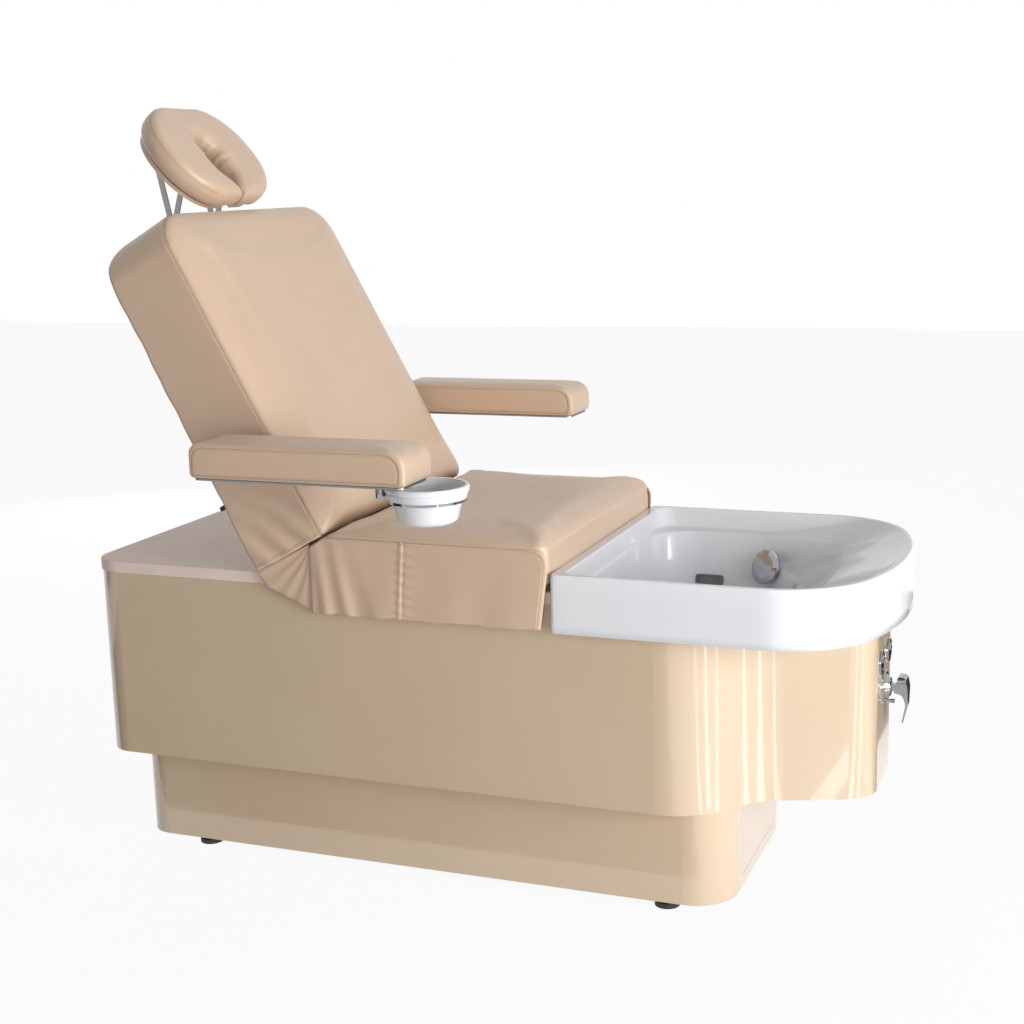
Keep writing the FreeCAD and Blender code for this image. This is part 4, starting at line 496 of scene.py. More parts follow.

# Bright fittings: brass turned or cast, then chromed and polished. The suction fitting's grille
# in the basin's far wall is chromed too, drawn much darker as painted shade in its openings.
chrome = finish_named("chrome", (0.36, 0.365, 0.38), 0.08, 1.0)
vary_colour(chrome, (0.33, 0.335, 0.35), (0.40, 0.405, 0.42), 20.0)
vary_gloss(chrome, 0.04, 0.13, 60.0)
emboss(chrome, noise_in(chrome, 300.0, 2.0), 0.03, 0.0003)
dress(chrome, "chrome", "drain_flange", "drain_plug", "filler_body", "filler_knob",
      "mixer_escutcheon", "mixer_stem", "mixer_lever", "diverter_knob", "button_bezels",
      "button_near", "button_far", "armrest_shafts", "bowl_holder")
# Painted shade: the chromed suction fitting gets a dark metal that stands for the shade in its
# grille.
chrome_with_painted_shade = finish_named("chrome_with_painted_shade", (0.085, 0.085, 0.09), 0.16, 1.0)
vary_colour(chrome_with_painted_shade, (0.070, 0.070, 0.075), (0.105, 0.105, 0.110), 20.0)
vary_gloss(chrome_with_painted_shade, 0.10, 0.24, 60.0)
emboss(chrome_with_painted_shade, noise_in(chrome_with_painted_shade, 300.0, 2.0), 0.04, 0.0003)
dress(chrome_with_painted_shade, "chrome", "suction_fitting")

# Pipework inside the cabinet: plain brass valve and supplies, grey plastic trap and cups. It
# shows only where the access panel is lifted out or the plinth is seen from below.
brass = finish_named("plain_brass", (0.62, 0.42, 0.17), 0.32, 1.0)
vary_colour(brass, (0.48, 0.31, 0.12), (0.70, 0.49, 0.21), 30.0)
vary_gloss(brass, 0.24, 0.45, 50.0)
emboss(brass, noise_in(brass, 400.0, 3.0), 0.1, 0.0004)
dress(brass, "brass", "mixer_valve", "supply_pipes")
grey_plastic = finish_named("grey_plastic", (0.42, 0.43, 0.44), 0.38)
vary_colour(grey_plastic, (0.39, 0.40, 0.41), (0.46, 0.47, 0.48), 18.0)
vary_gloss(grey_plastic, 0.32, 0.46, 35.0)
emboss(grey_plastic, noise_in(grey_plastic, 500.0, 2.0), 0.1, 0.0003)
dress(grey_plastic, "grey_plastic", "waste_trap", "button_cups")

# Satin steel: flat bars, plates and rods, brushed along their length and left bare. The
# armrests, the headrest, the hinges and the gas spring have them.
satin_steel = finish_named("satin_steel", (0.36, 0.36, 0.37), 0.40, 1.0)
vary_colour(satin_steel, (0.31, 0.31, 0.32), (0.41, 0.41, 0.42), 90.0, 4.0, (1.0, 0.2, 6.0))
vary_gloss(satin_steel, 0.32, 0.50, 120.0, 4.0, (1.0, 0.2, 8.0))
emboss(satin_steel, noise_in(satin_steel, 500.0, 3.0, (1.0, 0.1, 10.0)), 0.12, 0.0003)
dress(satin_steel, "brushed_steel", "headrest_brackets", "headrest_rods", "armrest_plate_near",
      "armrest_plate_far", "hinge_pins", "fork_pin", "spring_cylinder", "spring_rod")

# Seat cushion: foam under a sewn cover of beige coated leather. It is crowned on top, falls
# over the front edge in a curve, and is glued to a plywood board that is screwed to the deck.
leather = finish_named("tan_leather", (0.60, 0.43, 0.30), 0.45)
vary_colour(leather, (0.588, 0.420, 0.292), (0.612, 0.440, 0.308), 6.0, 5.0)
vary_gloss(leather, 0.38, 0.50, 24.0)
leather_shader = shader_of(leather)
leather_shader.inputs["Specular IOR Level"].default_value = 0.80
leather_shader.inputs["Sheen Weight"].default_value = 0.12
leather_shader.inputs["Sheen Roughness"].default_value = 0.5
leather_shader.inputs["Coat Weight"].default_value = 0.25
leather_shader.inputs["Coat Roughness"].default_value = 0.42
leather_place = leather.node_tree.nodes.new("ShaderNodeTexCoord")
leather_cells = leather.node_tree.nodes.new("ShaderNodeTexVoronoi")
leather_cells.feature = "DISTANCE_TO_EDGE"
leather_cells.inputs["Scale"].default_value = 520.0
leather.node_tree.links.new(leather_place.outputs["Object"], leather_cells.inputs["Vector"])
emboss(leather, leather_cells.outputs["Distance"], 0.18, 0.0008)
emboss(leather, noise_in(leather, 160.0, 4.0), 0.10, 0.0012)

thread = finish_named("sewing_thread", (0.66, 0.50, 0.36), 0.6)
vary_colour(thread, (0.60, 0.45, 0.32), (0.72, 0.56, 0.42), 300.0)
vary_gloss(thread, 0.5, 0.7, 400.0)
emboss(thread, noise_in(thread, 2500.0, 2.0), 0.4, 0.0002)
# Painted shade: a dark brown for the pressed line along each seam and for the needle holes.
seam_shade = finish_named("pressed_seam", (0.27, 0.175, 0.105), 0.6)
vary_colour(seam_shade, (0.23, 0.15, 0.09), (0.31, 0.20, 0.12), 120.0)
vary_gloss(seam_shade, 0.5, 0.7, 200.0)
emboss(seam_shade, noise_in(seam_shade, 900.0, 3.0), 0.3, 0.0003)


def loose_copy(name, *nodes):
    blank = bmesh.new()
    for node in nodes:
        blank.from_mesh(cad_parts[node].data)
    bmesh.ops.remove_doubles(blank, verts=blank.verts, dist=0.00002)
    return new_piece(name, blank)


def bake_in(piece):
    bpy.context.view_layer.update()
    shaped = piece.evaluated_get(bpy.context.evaluated_depsgraph_get())
    mesh = bpy.data.meshes.new_from_object(shaped)
    piece.modifiers.clear()
    old = piece.data
    piece.data = mesh
    bpy.data.meshes.remove(old)
    mesh.name = piece.name


def even_out(piece, voxel, rounds):
    remesh = piece.modifiers.new("even", "REMESH")
    remesh.mode = "VOXEL"
    remesh.voxel_size = voxel
    smooth = piece.modifiers.new("ease", "SMOOTH")
    smooth.factor = 0.5
    smooth.iterations = rounds
    bake_in(piece)


def shift_along_normals(piece, amount_at):
    mesh = piece.data
    moves = [vertex.normal * amount_at(vertex.co, vertex.normal) for vertex in mesh.vertices]
    for vertex, move in zip(mesh.vertices, moves):
        vertex.co = vertex.co + move


def spread_shifts(mesh, shifts, rounds):
    # Evens out how far neighbours have moved, so that the cap on it leaves no ridge.
    for turn in range(rounds):
        sums = [shift.copy() for shift in shifts]
        counts = [1] * len(shifts)
        for edge in mesh.edges:
            first, second = edge.vertices
            sums[first] += shifts[second]
            sums[second] += shifts[first]
            counts[first] += 1
            counts[second] += 1
        shifts = [total / count for total, count in zip(sums, counts)]
    return shifts


fill_frames = 20


def swell(piece, held, pressure, most):
    # The cover is sewn or glued where held is above zero, and air pressure fills the rest, by no
    # more than most.
    sewn = piece.vertex_groups.new(name="sewn")
    for vertex in piece.data.vertices:
        grip = held(vertex.co)
        if grip > 0.0:
            sewn.add([vertex.index], grip, "REPLACE")
    start = [vertex.co.copy() for vertex in piece.data.vertices]
    cloth = piece.modifiers.new("cover", "CLOTH")
    cloth.settings.quality = 4
    cloth.settings.use_pressure = True
    cloth.settings.uniform_pressure_force = pressure
    cloth.settings.tension_stiffness = 18.0
    cloth.settings.compression_stiffness = 18.0
    cloth.settings.bending_stiffness = 4.0
    cloth.settings.vertex_group_mass = "sewn"
    cloth.settings.effector_weights.gravity = 0.0
    cloth.point_cache.frame_start = 1
    cloth.point_cache.frame_end = fill_frames
    for step in range(1, fill_frames + 1):
        scene.frame_set(step)
    bake_in(piece)
    scene.frame_set(1)
    shifts = []
    for vertex, before in zip(piece.data.vertices, start):
        shift = vertex.co - before
        if shift.length > most:
            shift = shift * (most / shift.length)
        shifts.append(shift)
    shifts = spread_shifts(piece.data, shifts, 4)
    for vertex, before, shift in zip(piece.data.vertices, start, shifts):
        vertex.co = before + shift
    piece.vertex_groups.clear()


def finer(piece):
    # Twice as fine as the simulated cover, for creases and seams.
    divide = piece.modifiers.new("finer", "SUBSURF")
    divide.levels = 1
    divide.render_levels = 1
    bake_in(piece)


def upholster(piece, body, *nodes, fill):
    piece.data.materials.clear()
    piece.data.materials.append(leather)
    piece.data.shade_smooth()
    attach(piece, body)
    if nodes:
        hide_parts(*nodes)


def steps_along(path, pitch):
    # Even steps along a drawn line, each with the way that the line runs there.
    steps = []
    left_over = 0.0
    for start, end in zip(path, path[1:]):
        start = Vector(start)
        run = Vector(end) - start
        length = run.length
        way = run.normalized()
        at = left_over
        while at < length:
            steps.append((start + way * at, way))
            at += pitch
        left_over = at - length
    return steps


def skin_of(piece):
    mesh = piece.data
    return BVHTree.FromPolygons(
        [vertex.co for vertex in mesh.vertices], [face.vertices for face in mesh.polygons])


def draw_in(piece, paths, depth, width):
    # Presses the cover in along a seam.
    places = [place for path in paths for place, way in steps_along(path, 0.002)]
    near = KDTree(len(places))
    for index, place in enumerate(places):
        near.insert(place, index)
    near.balance()

    def pull(place, normal):
        gap = near.find(place)[2]
        return -depth * math.exp(-((gap / width) ** 2)) if gap < 3.0 * width else 0.0

    shift_along_normals(piece, pull)


stitch_pitch = 0.0070
stitch_size = (stitch_pitch * 0.33, 0.0009, 0.0007, 1.0)
# The needle holes are tiny dark dots of painted shade.
hole_shade_size = (0.0011, 0.0010, 0.0004, 1.0)


def sew(name, piece, paths, body, rows):
    # A pressed line where two panels meet, and rows of stitches and needle holes beside it. The
    # line
    #     # and the holes are dark brown, painted shade for the groove and the holes.
    skin = skin_of(piece)
    lines = bpy.data.curves.new(name + "_line", "CURVE")
    lines.dimensions = "3D"
    lines.bevel_depth = 0.0005
    lines.bevel_resolution = 1
    stitches = bmesh.new()
    holes = bmesh.new()
    for path in paths:
        spline = lines.splines.new("POLY")
        laid = [skin.find_nearest(place)[0] for place, way in steps_along(path, 0.004)]
        spline.points.add(len(laid) - 1)
        for point, place in zip(spline.points, laid):
            point.co = (*place, 1.0)
        for row in rows:
            for place, way in steps_along(path, stitch_pitch):
                ground, up = skin.find_nearest(place)[:2]
                aside = up.cross(way).normalized()
                ground, up = skin.find_nearest(ground + aside * row)[:2]
                along = (way - up * way.dot(up)).normalized()
                aside = up.cross(along)
                turn = Matrix((along, aside, up)).transposed().to_4x4()
                between = ground + along * (stitch_pitch * 0.5)
                for dots, middle, size in (
                        (stitches, ground, stitch_size), (holes, between, hole_shade_size)):
                    bmesh.ops.create_icosphere(
                        dots, subdivisions=1, radius=1.0,
                        matrix=Matrix.Translation(middle) @ turn @ Matrix.Diagonal(size))
    threads = new_piece(name + "_stitches", stitches)
    hole_shade_dots = new_piece(name + "_needle_hole_shade", holes)
    curve = bpy.data.objects.new(name + "_curve", lines)
    scene.collection.objects.link(curve)
    bpy.context.view_layer.update()
    mesh = bpy.data.meshes.new_from_object(
        curve.evaluated_get(bpy.context.evaluated_depsgraph_get()))
    bpy.data.objects.remove(curve)
    bpy.data.curves.remove(lines)
    seam = bpy.data.objects.new(name + "_seam", mesh)
    scene.collection.objects.link(seam)
    # The line and the needle holes take the dark brown of painted shade.
    for part, finish in ((seam, seam_shade), (threads, thread), (hole_shade_dots, seam_shade)):
        part.data.materials.clear()
        part.data.materials.append(finish)
        part.data.shade_smooth()
        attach(part, body)


seat_seam_z = 0.874
seat_glued_z = 0.800
seat_glued_x = -0.335
seat_seam_y = 0.392
seam_grip_width = 0.008
seat_grip_end_x = 0.205
seat_grip_fade = 0.06
start_inset = 0.002
seat_pressure = 3.0
seat_most = 0.005
seat = loose_copy("seat_cover", "seat_cushion")
even_out(seat, 0.0065, 2)
shift_along_normals(
    seat, lambda place, normal: -start_inset if place.z > seat_seam_z + 0.006 else 0.0)


def seat_held(place):
    if place.z < seat_glued_z or place.x < seat_glued_x:
        return 1.0
    if abs(place.z - seat_seam_z) < seam_grip_width and abs(place.y) > seat_seam_y:
        return max(0.0, min(1.0, (seat_grip_end_x - place.x) / seat_grip_fade))
    return 0.0


swell(seat, seat_held, seat_pressure, seat_most)
finer(seat)

seat_crease_x = -0.02
seat_crease_length = 0.28
seat_crease_depth = 0.0011


def seat_crease(place, normal):
    # Leather pulled from the hinge side leaves long shallow creases on the seat's rear half.
    if normal.z < 0.6:
        return 0.0
    rear = max(0.0, min(1.0, (seat_crease_x - place.x) / seat_crease_length))
    ripple = math.sin(place.x * 70.0 + abs(place.y) * 26.0) * math.sin(place.y * 9.0 + 0.7)
    return seat_crease_depth * rear * ripple


shift_along_normals(seat, seat_crease)
upholster(seat, "base", "seat_cushion", fill=0.8)

# Seat skirts: one layer of the same leather over thin wadding, sewn to the cover's edge. Each
# has two panels joined by a double stitched welt, and hangs over the cabinet's side.
seat_side_y = 0.4088
skirt_thickness = 0.0028
skirt_rear_x = -0.353
skirt_foot_x = 0.250
skirt_hem_z = 0.6855
skirt_lean = 0.020
skirt_lean_z = 0.830
skirt_lean_height = 0.146
front_round = 0.028
front_round_x = 0.222
front_round_z = 0.846
shoulder_x = -0.308
shoulder_low_z = 0.846
shoulder_slope = 0.61
edge_reach = 0.006
end_reach = 0.010
# Place along the seat, how far the fold leans towards its hem, depth and width.
hinge_folds = (
    (-0.330, 0.020, 0.0038, 0.014), (-0.287, 0.034, 0.0046, 0.017),
    (-0.232, 0.052, 0.0022, 0.026), (-0.165, 0.010, 0.0012, 0.030))


def hung_sheet(name, across, down, place_at):
    blank = bmesh.new()
    bmesh.ops.create_grid(blank, x_segments=across, y_segments=down, size=0.5)
    for vertex in blank.verts:
        vertex.co = place_at(vertex.co.x + 0.5, vertex.co.y + 0.5)
    bmesh.ops.recalc_face_normals(blank, faces=blank.faces)
    return new_piece(name, blank)


def wall_up(piece, thickness, inner_point):
    # Turns the sheet to face outwards, and gives it its thickness inwards.
    mesh = piece.data
    middle = mesh.polygons[len(mesh.polygons) // 2]
    if middle.normal.dot(middle.center - Vector(inner_point)) < 0.0:
        mesh.flip_normals()
    wall = piece.modifiers.new("wall", "SOLIDIFY")
    wall.thickness = thickness
    wall.offset = -1.0
    bake_in(piece)


def welt_x(z):
    # The welt between a skirt's two panels leans a little towards the hinge.
    return -0.100 - 0.013 * (0.878 - z) / 0.185


def seat_skirt_place(side):
    def place_at(u, v):
        z_guess = skirt_hem_z + v * (seat_seam_z - skirt_hem_z)
        lean = max(0.0, min(1.0, (skirt_lean_z - z_guess) / skirt_lean_height))
        foot = skirt_foot_x - skirt_lean * lean
        if z_guess > front_round_z:
            rise = z_guess - front_round_z
            foot = front_round_x + math.sqrt(max(0.0, front_round ** 2 - rise ** 2))
        x = skirt_rear_x + u * (foot - skirt_rear_x)
        top = seat_seam_z - 0.0005
        if x < shoulder_x:
            top = shoulder_low_z + (x - skirt_rear_x) * shoulder_slope
        hem = skirt_hem_z + 0.0016 * math.sin(x * 38.0) + 0.0011 * math.sin(x * 91.0 + 1.0)
        z = hem + v * (top - hem)
        drop = 1.0 - v
        folds = 0.0
        for fold_x, fold_lean, depth, width in hinge_folds:
            away = (x - fold_x - fold_lean * drop) / width
            folds += depth * (0.25 + 0.75 * drop) * math.exp(-away * away)
            behind = away + 1.7
            folds -= 0.45 * depth * (0.25 + 0.75 * drop) * math.exp(-behind * behind)
        folds += 0.0013 * drop * math.sin(x * 41.0 + drop * 1.5)
        from_welt = x - welt_x(z)
        pucker = 0.0009 * math.exp(-((abs(from_welt) - 0.012) / 0.012) ** 2)
        folds += pucker * math.sin(z * 260.0 + (1.5 if from_welt > 0.0 else 0.0))
        folds += 0.0024 * math.exp(-((from_welt + 0.007) / 0.006) ** 2)
        out = seat_side_y + folds
        edge = (z - (top - edge_reach)) / edge_reach
        if edge > 0.0:
            out -= 0.0022 * edge * edge
        front = (x - (foot - 0.012)) / 0.012
        if front > 0.0:
            out -= 0.0050 * front * front
        back = (skirt_rear_x + end_reach - x) / end_reach
        if back > 0.0:
            out -= 0.0035 * back * back
        return Vector((x, side * out, z))
    return place_at


for side, name in ((-1.0, "near"), (1.0, "far")):
    skirt = hung_sheet("seat_skirt_cover_" + name, 170, 52, seat_skirt_place(side))
    wall_up(skirt, skirt_thickness, (0.0, 0.0, 0.78))
    edge_y = side * 0.409
    rim = [(-0.318, edge_y, 0.8725), (0.195, edge_y, 0.8725), (0.222, edge_y, 0.8680),
           (0.236, edge_y, 0.8560), (0.2415, edge_y, 0.8400), (0.2400, edge_y, 0.8100),
           (0.2330, edge_y, 0.7600), (0.2225, edge_y, 0.6900)]
    welt = [(welt_x(0.870), edge_y, 0.870), (welt_x(0.690), edge_y, 0.690)]
    draw_in(skirt, [rim[2:], welt], 0.0016, 0.0035)
    sew("seat_edge_" + name, skirt, [[(x, y, z - 0.0015) for x, y, z in rim]], "base",
        rows=(0.0050,) if side > 0.0 else (-0.0050,))
    sew("seat_welt_" + name, skirt, [welt], "base", rows=(0.0055, -0.0055))
    stood_for = ("seat_skirts",) if side < 0.0 else ()
    upholster(skirt, "base", *stood_for, fill=0.3)

# Gussets: leather triangles sewn to the seat's rear edge. The backrest's skirt passes outside
# them when it goes down, and their creases run out from the sewn corner.
gusset_corner_x = -0.34
gusset_corner_z = 0.86
gusset_crease_depth = 0.0012
gusset_inset = 0.0014


def gusset_crease(place, normal):
    if abs(normal.y) < 0.5:
        return 0.0
    along = place.x - gusset_corner_x
    up = place.z - gusset_corner_z
    angle = math.atan2(up, along)
    reach = math.hypot(up, along)
    out = 1.0 if normal.y * place.y > 0.0 else -1.0
    return out * gusset_crease_depth * math.sin(angle * 24.0 + reach * 14.0) - gusset_inset


for side in ("near", "far"):
    gusset = loose_copy("gusset_cover_" + side, "gusset_" + side)
    even_out(gusset, 0.0032, 2)
    shift_along_normals(gusset, gusset_crease)
    upholster(gusset, "base", "gusset_" + side, fill=0.2)

# Backrest: a foam cushion on a board, under a cover whose smooth face wraps over the head end.
# A deep skirt of the same leather is sewn round its edge and hides the steel frame.
hinge_x = -0.374
hinge_z = 0.790
raised_angle = math.radians(61.5)
recline_cos = math.cos(raised_angle)
recline_sin = math.sin(raised_angle)


def on_back(reach, y, rise):
    # A place by its reach from the hinge along the backrest and its rise towards the sitter.
    return Vector((
        hinge_x - reach * recline_cos + rise * recline_sin, y,
        hinge_z + reach * recline_sin + rise * recline_cos))


def back_reach_rise(place):
    along = place.x - hinge_x
    up = place.z - hinge_z
    return up * recline_sin - along * recline_cos, along * recline_sin + up * recline_cos


back_seam_rise = 0.092
back_seam_y = 0.385
back_seam_reach = 0.880
back_glued_rise = 0.050
back_glued_reach = 0.075
back_pressure = 3.0
back_most = 0.005
back = loose_copy("backrest_cover", "backrest_cushion")
even_out(back, 0.0075, 2)


def back_held(place):
    reach, rise = back_reach_rise(place)
    if rise < back_glued_rise or reach < back_glued_reach:
        return 1.0
    near_edge = abs(place.y) > back_seam_y or reach > back_seam_reach
    return 1.0 if abs(rise - back_seam_rise) < seam_grip_width and near_edge else 0.0


def back_start(place, normal):
    reach, rise = back_reach_rise(place)
    return -start_inset if rise > back_seam_rise + seam_grip_width else 0.0


shift_along_normals(back, back_start)
swell(back, back_held, back_pressure, back_most)
finer(back)

back_crease_rise = 0.095
back_crease_length = 0.26
back_crease_depth = 0.0022


def back_crease(place, normal):
    reach, rise = back_reach_rise(place)
    low = max(0.0, 1.0 - reach / back_crease_length)
    if rise < back_crease_rise:
        return 0.0
    return back_crease_depth * low * low * math.sin(place.y * 34.0 + reach * 22.0)


shift_along_normals(back, back_crease)
upholster(back, "backrest", "backrest_cushion", fill=0.8)

skirt_out_y = 0.4088
back_hem_rise = -0.112
back_hem_slope = 0.016 / 0.856
hem_round = 0.062
hem_round_reach = 0.841
hem_round_rise = -0.034
hem_end_rise = -0.048
lower_fold_length = 0.24
lower_fold_depth = 0.0024
back_end_reach = 0.9028
back_corner = 0.0950
back_low_reach = 0.047
back_straight = back_end_reach - back_corner - back_low_reach
back_arc = back_corner * math.pi / 2.0
back_top = 2.0 * (skirt_out_y - back_corner)
skirt_round = 2.0 * back_straight + 2.0 * back_arc + back_top


def round_back(u):
    # Walks round the skirt from the near lower end, over the head end, to the far lower end.
    at = u * skirt_round
    side = -1.0
    if at > skirt_round / 2.0:
        at = skirt_round - at
        side = 1.0
    if at < back_straight:
        return back_low_reach + at, side * skirt_out_y, 0.0, side
    at -= back_straight
    if at < back_arc:
        turn = at / back_corner
        return (back_end_reach - back_corner + back_corner * math.sin(turn),
                side * (skirt_out_y - back_corner + back_corner * math.cos(turn)),
                math.sin(turn), side * math.cos(turn))
    at -= back_arc
    return back_end_reach, side * (skirt_out_y - back_corner - at), 1.0, 0.0


def back_skirt_place(u, v):
    reach, y, out_reach, out_y = round_back(u)
    low = back_hem_rise + back_hem_slope * (reach - back_low_reach)
    if reach > hem_round_reach:
        past = reach - hem_round_reach
        low = hem_round_rise - math.sqrt(max(0.0, hem_round ** 2 - past ** 2))
        low = min(low, hem_end_rise)
    low += 0.0012 * math.sin(reach * 31.0) + 0.0008 * math.sin(reach * 73.0 + y * 20.0)
    rise = low + v * (back_seam_rise - 0.0005 - low)
    lower_end = max(0.0, 1.0 - (reach - back_low_reach) / lower_fold_length)
    inward = lower_fold_depth * lower_end * lower_end * (
        math.sin((rise + reach * 0.75) * 95.0 + math.sin(reach * 30.0)) - 0.35)
    inward += 0.0005 * math.sin(reach * 17.0 + rise * 24.0)
    edge = (rise - (back_seam_rise - edge_reach)) / edge_reach
    if edge > 0.0:
        inward += 0.0020 * edge * edge
    hem = (low + edge_reach - rise) / edge_reach
    if hem > 0.0:
        inward += 0.0008 * hem * hem
    return on_back(reach - out_reach * inward, y - out_y * inward, rise)


back_skirt = hung_sheet("backrest_skirt_cover", 440, 40, back_skirt_place)
wall_up(back_skirt, skirt_thickness, on_back(0.45, 0.0, 0.0))
back_rim = []
rim_steps = 240
for index in range(rim_steps + 1):
    reach, y, out_reach, out_y = round_back(index / rim_steps)
    back_rim.append(tuple(on_back(reach, y, back_seam_rise - 0.002)))
end_seam_reach = 0.058
end_seams = [
    [tuple(on_back(end_seam_reach, side * skirt_out_y, rise)) for rise in (-0.106, 0.086)]
    for side in (-1.0, 1.0)]
draw_in(back_skirt, end_seams, 0.0014, 0.0035)
sew("backrest_edge", back_skirt, [back_rim], "backrest", rows=(-0.0050,))
sew("backrest_end", back_skirt, end_seams, "backrest", rows=(0.0050, -0.0050))
upholster(back_skirt, "backrest", "backrest_skirt", fill=0.3)

# Armrests: a padded top on a steel plate, which turns on a shaft at the backrest's side. Flat
# side panels are sewn to one strip that runs over the top and both ends.
pad_seam = [(-0.5220, 1.0480), (-0.5235, 1.0700), (-0.5225, 1.0930), (-0.5150, 1.1060),
            (-0.5000, 1.1130), (-0.0480, 1.1130), (-0.0270, 1.1075), (-0.0130, 1.0950),
            (-0.0080, 1.0780), (-0.0085, 1.0600), (-0.0120, 1.0480)]
pad_low_seam = [(-0.5220, 1.0480), (-0.0120, 1.0480)]
pad_rear_x = -0.5335
pad_front_x = 0.0075
pad_low_z = 1.0412
pad_top_z = 1.1235
pad_middle_y = 0.5450
pad_width = 0.149
pad_seam_ys = (0.4705, 0.6195)
pad_glued_z = 1.0445
pad_grip_width = 0.007
pad_pressure = 2.5
pad_most = 0.0035


def pad_end_edges(blank, front, top):
    # The edges across one end of the pad, at its top or bottom.
    middle_x = -0.2
    middle_z = 1.08
    return [edge for edge in blank.edges
            if all((vertex.co.x > middle_x) == front and (vertex.co.z > middle_z) == top
                   for vertex in edge.verts)]


for side, name in ((-1.0, "near"), (1.0, "far")):
    blank = bmesh.new()
    bmesh.ops.create_cube(blank, size=1.0)
    for vertex in blank.verts:
        vertex.co = Vector((
            pad_rear_x if vertex.co.x < 0.0 else pad_front_x,
            side * (pad_middle_y + vertex.co.y * pad_width),
            pad_low_z if vertex.co.z < 0.0 else pad_top_z))
    if side < 0.0:
        bmesh.ops.reverse_faces(blank, faces=blank.faces)
    for front, top, radius in ((True, True, 0.040), (False, True, 0.026),
                               (True, False, 0.012), (False, False, 0.012)):
        bmesh.ops.bevel(
            blank, geom=pad_end_edges(blank, front, top), offset=radius, segments=8, profile=0.5,
            affect="EDGES", material=-1)
    side_loops = [edge for edge in blank.edges
                  if abs(edge.verts[0].co.y - edge.verts[1].co.y) < 0.001]
    bmesh.ops.bevel(
        blank, geom=side_loops, offset=0.008, segments=3, profile=0.5,
        affect="EDGES", material=-1)
    pad = new_piece("armrest_cover_" + name, blank)
    even_out(pad, 0.0050, 3)
    edges = []
    for seam_y in pad_seam_ys:
        edges.append([(x, side * seam_y, z) for x, z in pad_seam])
        edges.append([(x, side * seam_y, z) for x, z in pad_low_seam])
    held_points = [place for path in edges for place, way in steps_along(path, 0.003)]
    held_tree = KDTree(len(held_points))
    for index, place in enumerate(held_points):
        held_tree.insert(place, index)
    held_tree.balance()

    def pad_held(place):
        sewn = held_tree.find(place)[2] < pad_grip_width
        return 1.0 if place.z < pad_glued_z or sewn else 0.0

    swell(pad, pad_held, pad_pressure, pad_most)
    finer(pad)
    draw_in(pad, edges, 0.0014, 0.0032)
    sew("armrest_edge_" + name, pad, [edges[0], edges[2]], "armrest_" + name,
        rows=(0.0042, -0.0042))
    sew("armrest_hem_" + name, pad, [edges[1], edges[3]], "armrest_" + name, rows=(0.0040,))
    upholster(pad, "armrest_" + name, "armrest_pad_" + name, fill=0.85)

# Release lever: black plastic knob and rod under the near edge of the backrest. It pulls the
# cable that opens the gas spring's valve.
black_plastic = finish_named("black_plastic", (0.02, 0.02, 0.021), 0.35)
vary_colour(black_plastic, (0.016, 0.016, 0.017), (0.030, 0.030, 0.031), 40.0)
vary_gloss(black_plastic, 0.28, 0.44, 60.0)
emboss(black_plastic, noise_in(black_plastic, 800.0, 2.0), 0.12, 0.0003)
dress(black_plastic, "black_plastic", "release_lever")

# Headrest: a padded ring, open at the foot end, on a covered board that two V shaped pairs of
# flat bars carry. The hole's inner wall is gathered in pleats, and a seam runs round the rim.
headrest_angle = math.radians(49.5)
headrest_cos = math.cos(headrest_angle)
headrest_sin = math.sin(headrest_angle)
pillow_centre = Vector((-0.81937, 0.0, 1.76412))


def in_pillow(place):
    # Along the pillow towards its foot end, across it, and up out of its face.
    offset = place - pillow_centre
    return (offset.x * headrest_cos - offset.z * headrest_sin, offset.y,
            offset.x * headrest_sin + offset.z * headrest_cos)


def on_pillow(along, y, up):
    return pillow_centre + Vector((
        along * headrest_cos + up * headrest_sin, y, up * headrest_cos - along * headrest_sin))


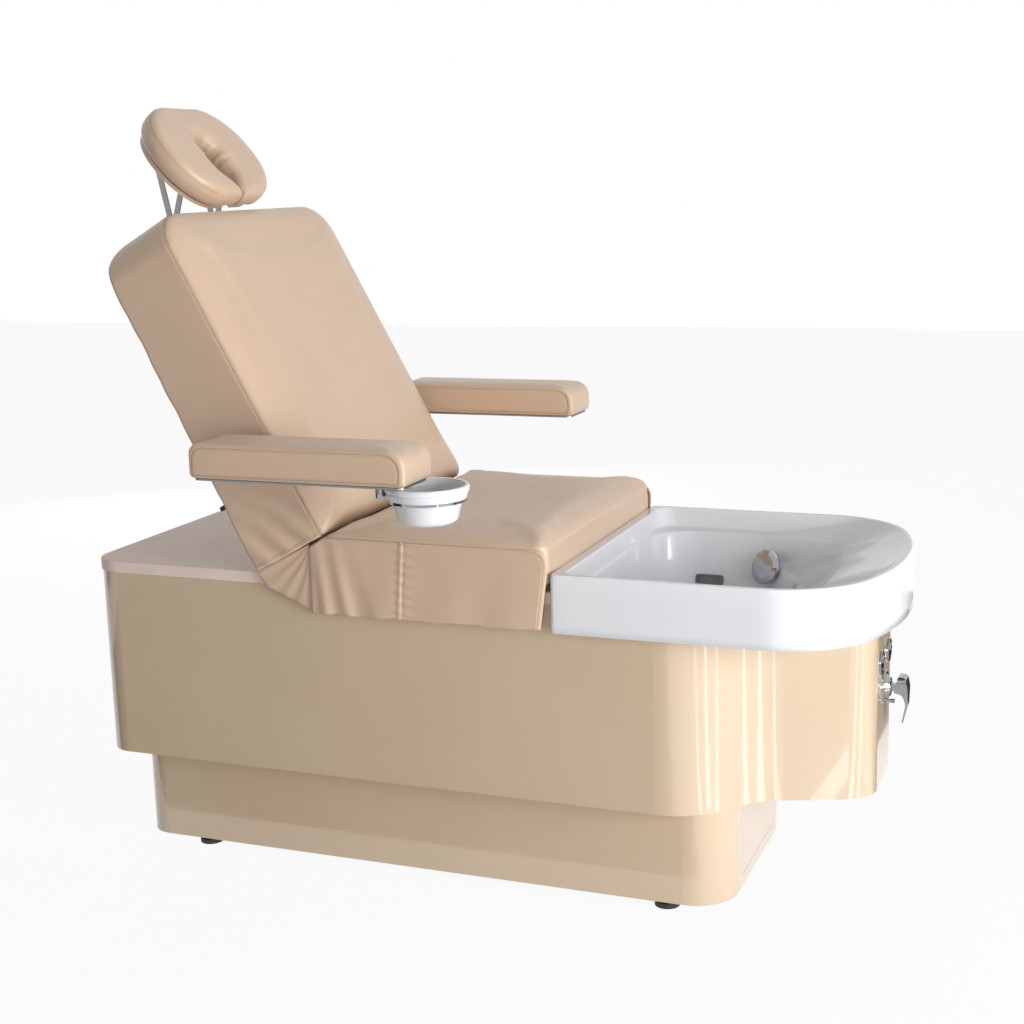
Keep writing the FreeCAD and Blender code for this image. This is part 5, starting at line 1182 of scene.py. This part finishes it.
dress(leather, "platform_board", "headrest_platform")
pillow = loose_copy("headrest_cover", "headrest_pillow")
even_out(pillow, 0.0045, 4)


def between_arms(place, normal):
    # The arms' inner walls stand back, so that the padding doesn't close the opening.
    along, y, up = in_pillow(place)
    return -0.0035 if along > 0.02 and abs(y) < 0.075 else -0.0015


pillow_glued_up = -0.028
pillow_pressure = 1.6
pillow_most = 0.0016


def pillow_held(place):
    return 1.0 if in_pillow(place)[2] < pillow_glued_up else 0.0


shift_along_normals(pillow, between_arms)
swell(pillow, pillow_held, pillow_pressure, pillow_most)
finer(pillow)

hole_middle = 0.004
hole_stretch = 1.05
hole_radius = 0.050
pleat_width = 0.017
pleat_height = 0.038
pleat_depth = 0.0019


def pillow_pleats(place, normal):
    # Uneven gathers round the wall of the hole, which fade towards its edges.
    along, y, up = in_pillow(place)
    hole_way = math.atan2(y, along - hole_middle)
    hole_reach = math.hypot((along - hole_middle) / hole_stretch, y)
    inner = math.exp(-((hole_reach - hole_radius) / pleat_width) ** 2)
    level = max(0.0, 1.0 - abs(up) / pleat_height)
    gather = math.sin(hole_way * 9.0 + 0.8 * math.sin(hole_way * 4.0) + up * 22.0)
    gather += 0.5 * math.sin(hole_way * 17.0 + 1.3 + up * 35.0)
    return pleat_depth * inner * level * gather


shift_along_normals(pillow, pillow_pleats)
seam_radius = 0.147
seam_corner_along = 0.007
seam_corner_y = 0.060
seam_up = 0.019
seam_start = 24.0
seam_sweep = 312.0
seam_steps = 180
pillow_edge = []
for index in range(seam_steps + 1):
    turn = math.radians(seam_start + index * (seam_sweep / seam_steps))
    way_along = math.cos(turn)
    way_y = math.sin(turn)
    pillow_edge.append(tuple(on_pillow(
        math.copysign(seam_corner_along, way_along) + seam_radius * way_along,
        math.copysign(seam_corner_y, way_y) + seam_radius * way_y, seam_up)))
draw_in(pillow, [pillow_edge], 0.0016, 0.0035)
sew("headrest_edge", pillow, [pillow_edge], "head_tilt", rows=(0.0045,))
upholster(pillow, "head_tilt", "headrest_pillow", fill=0.85)
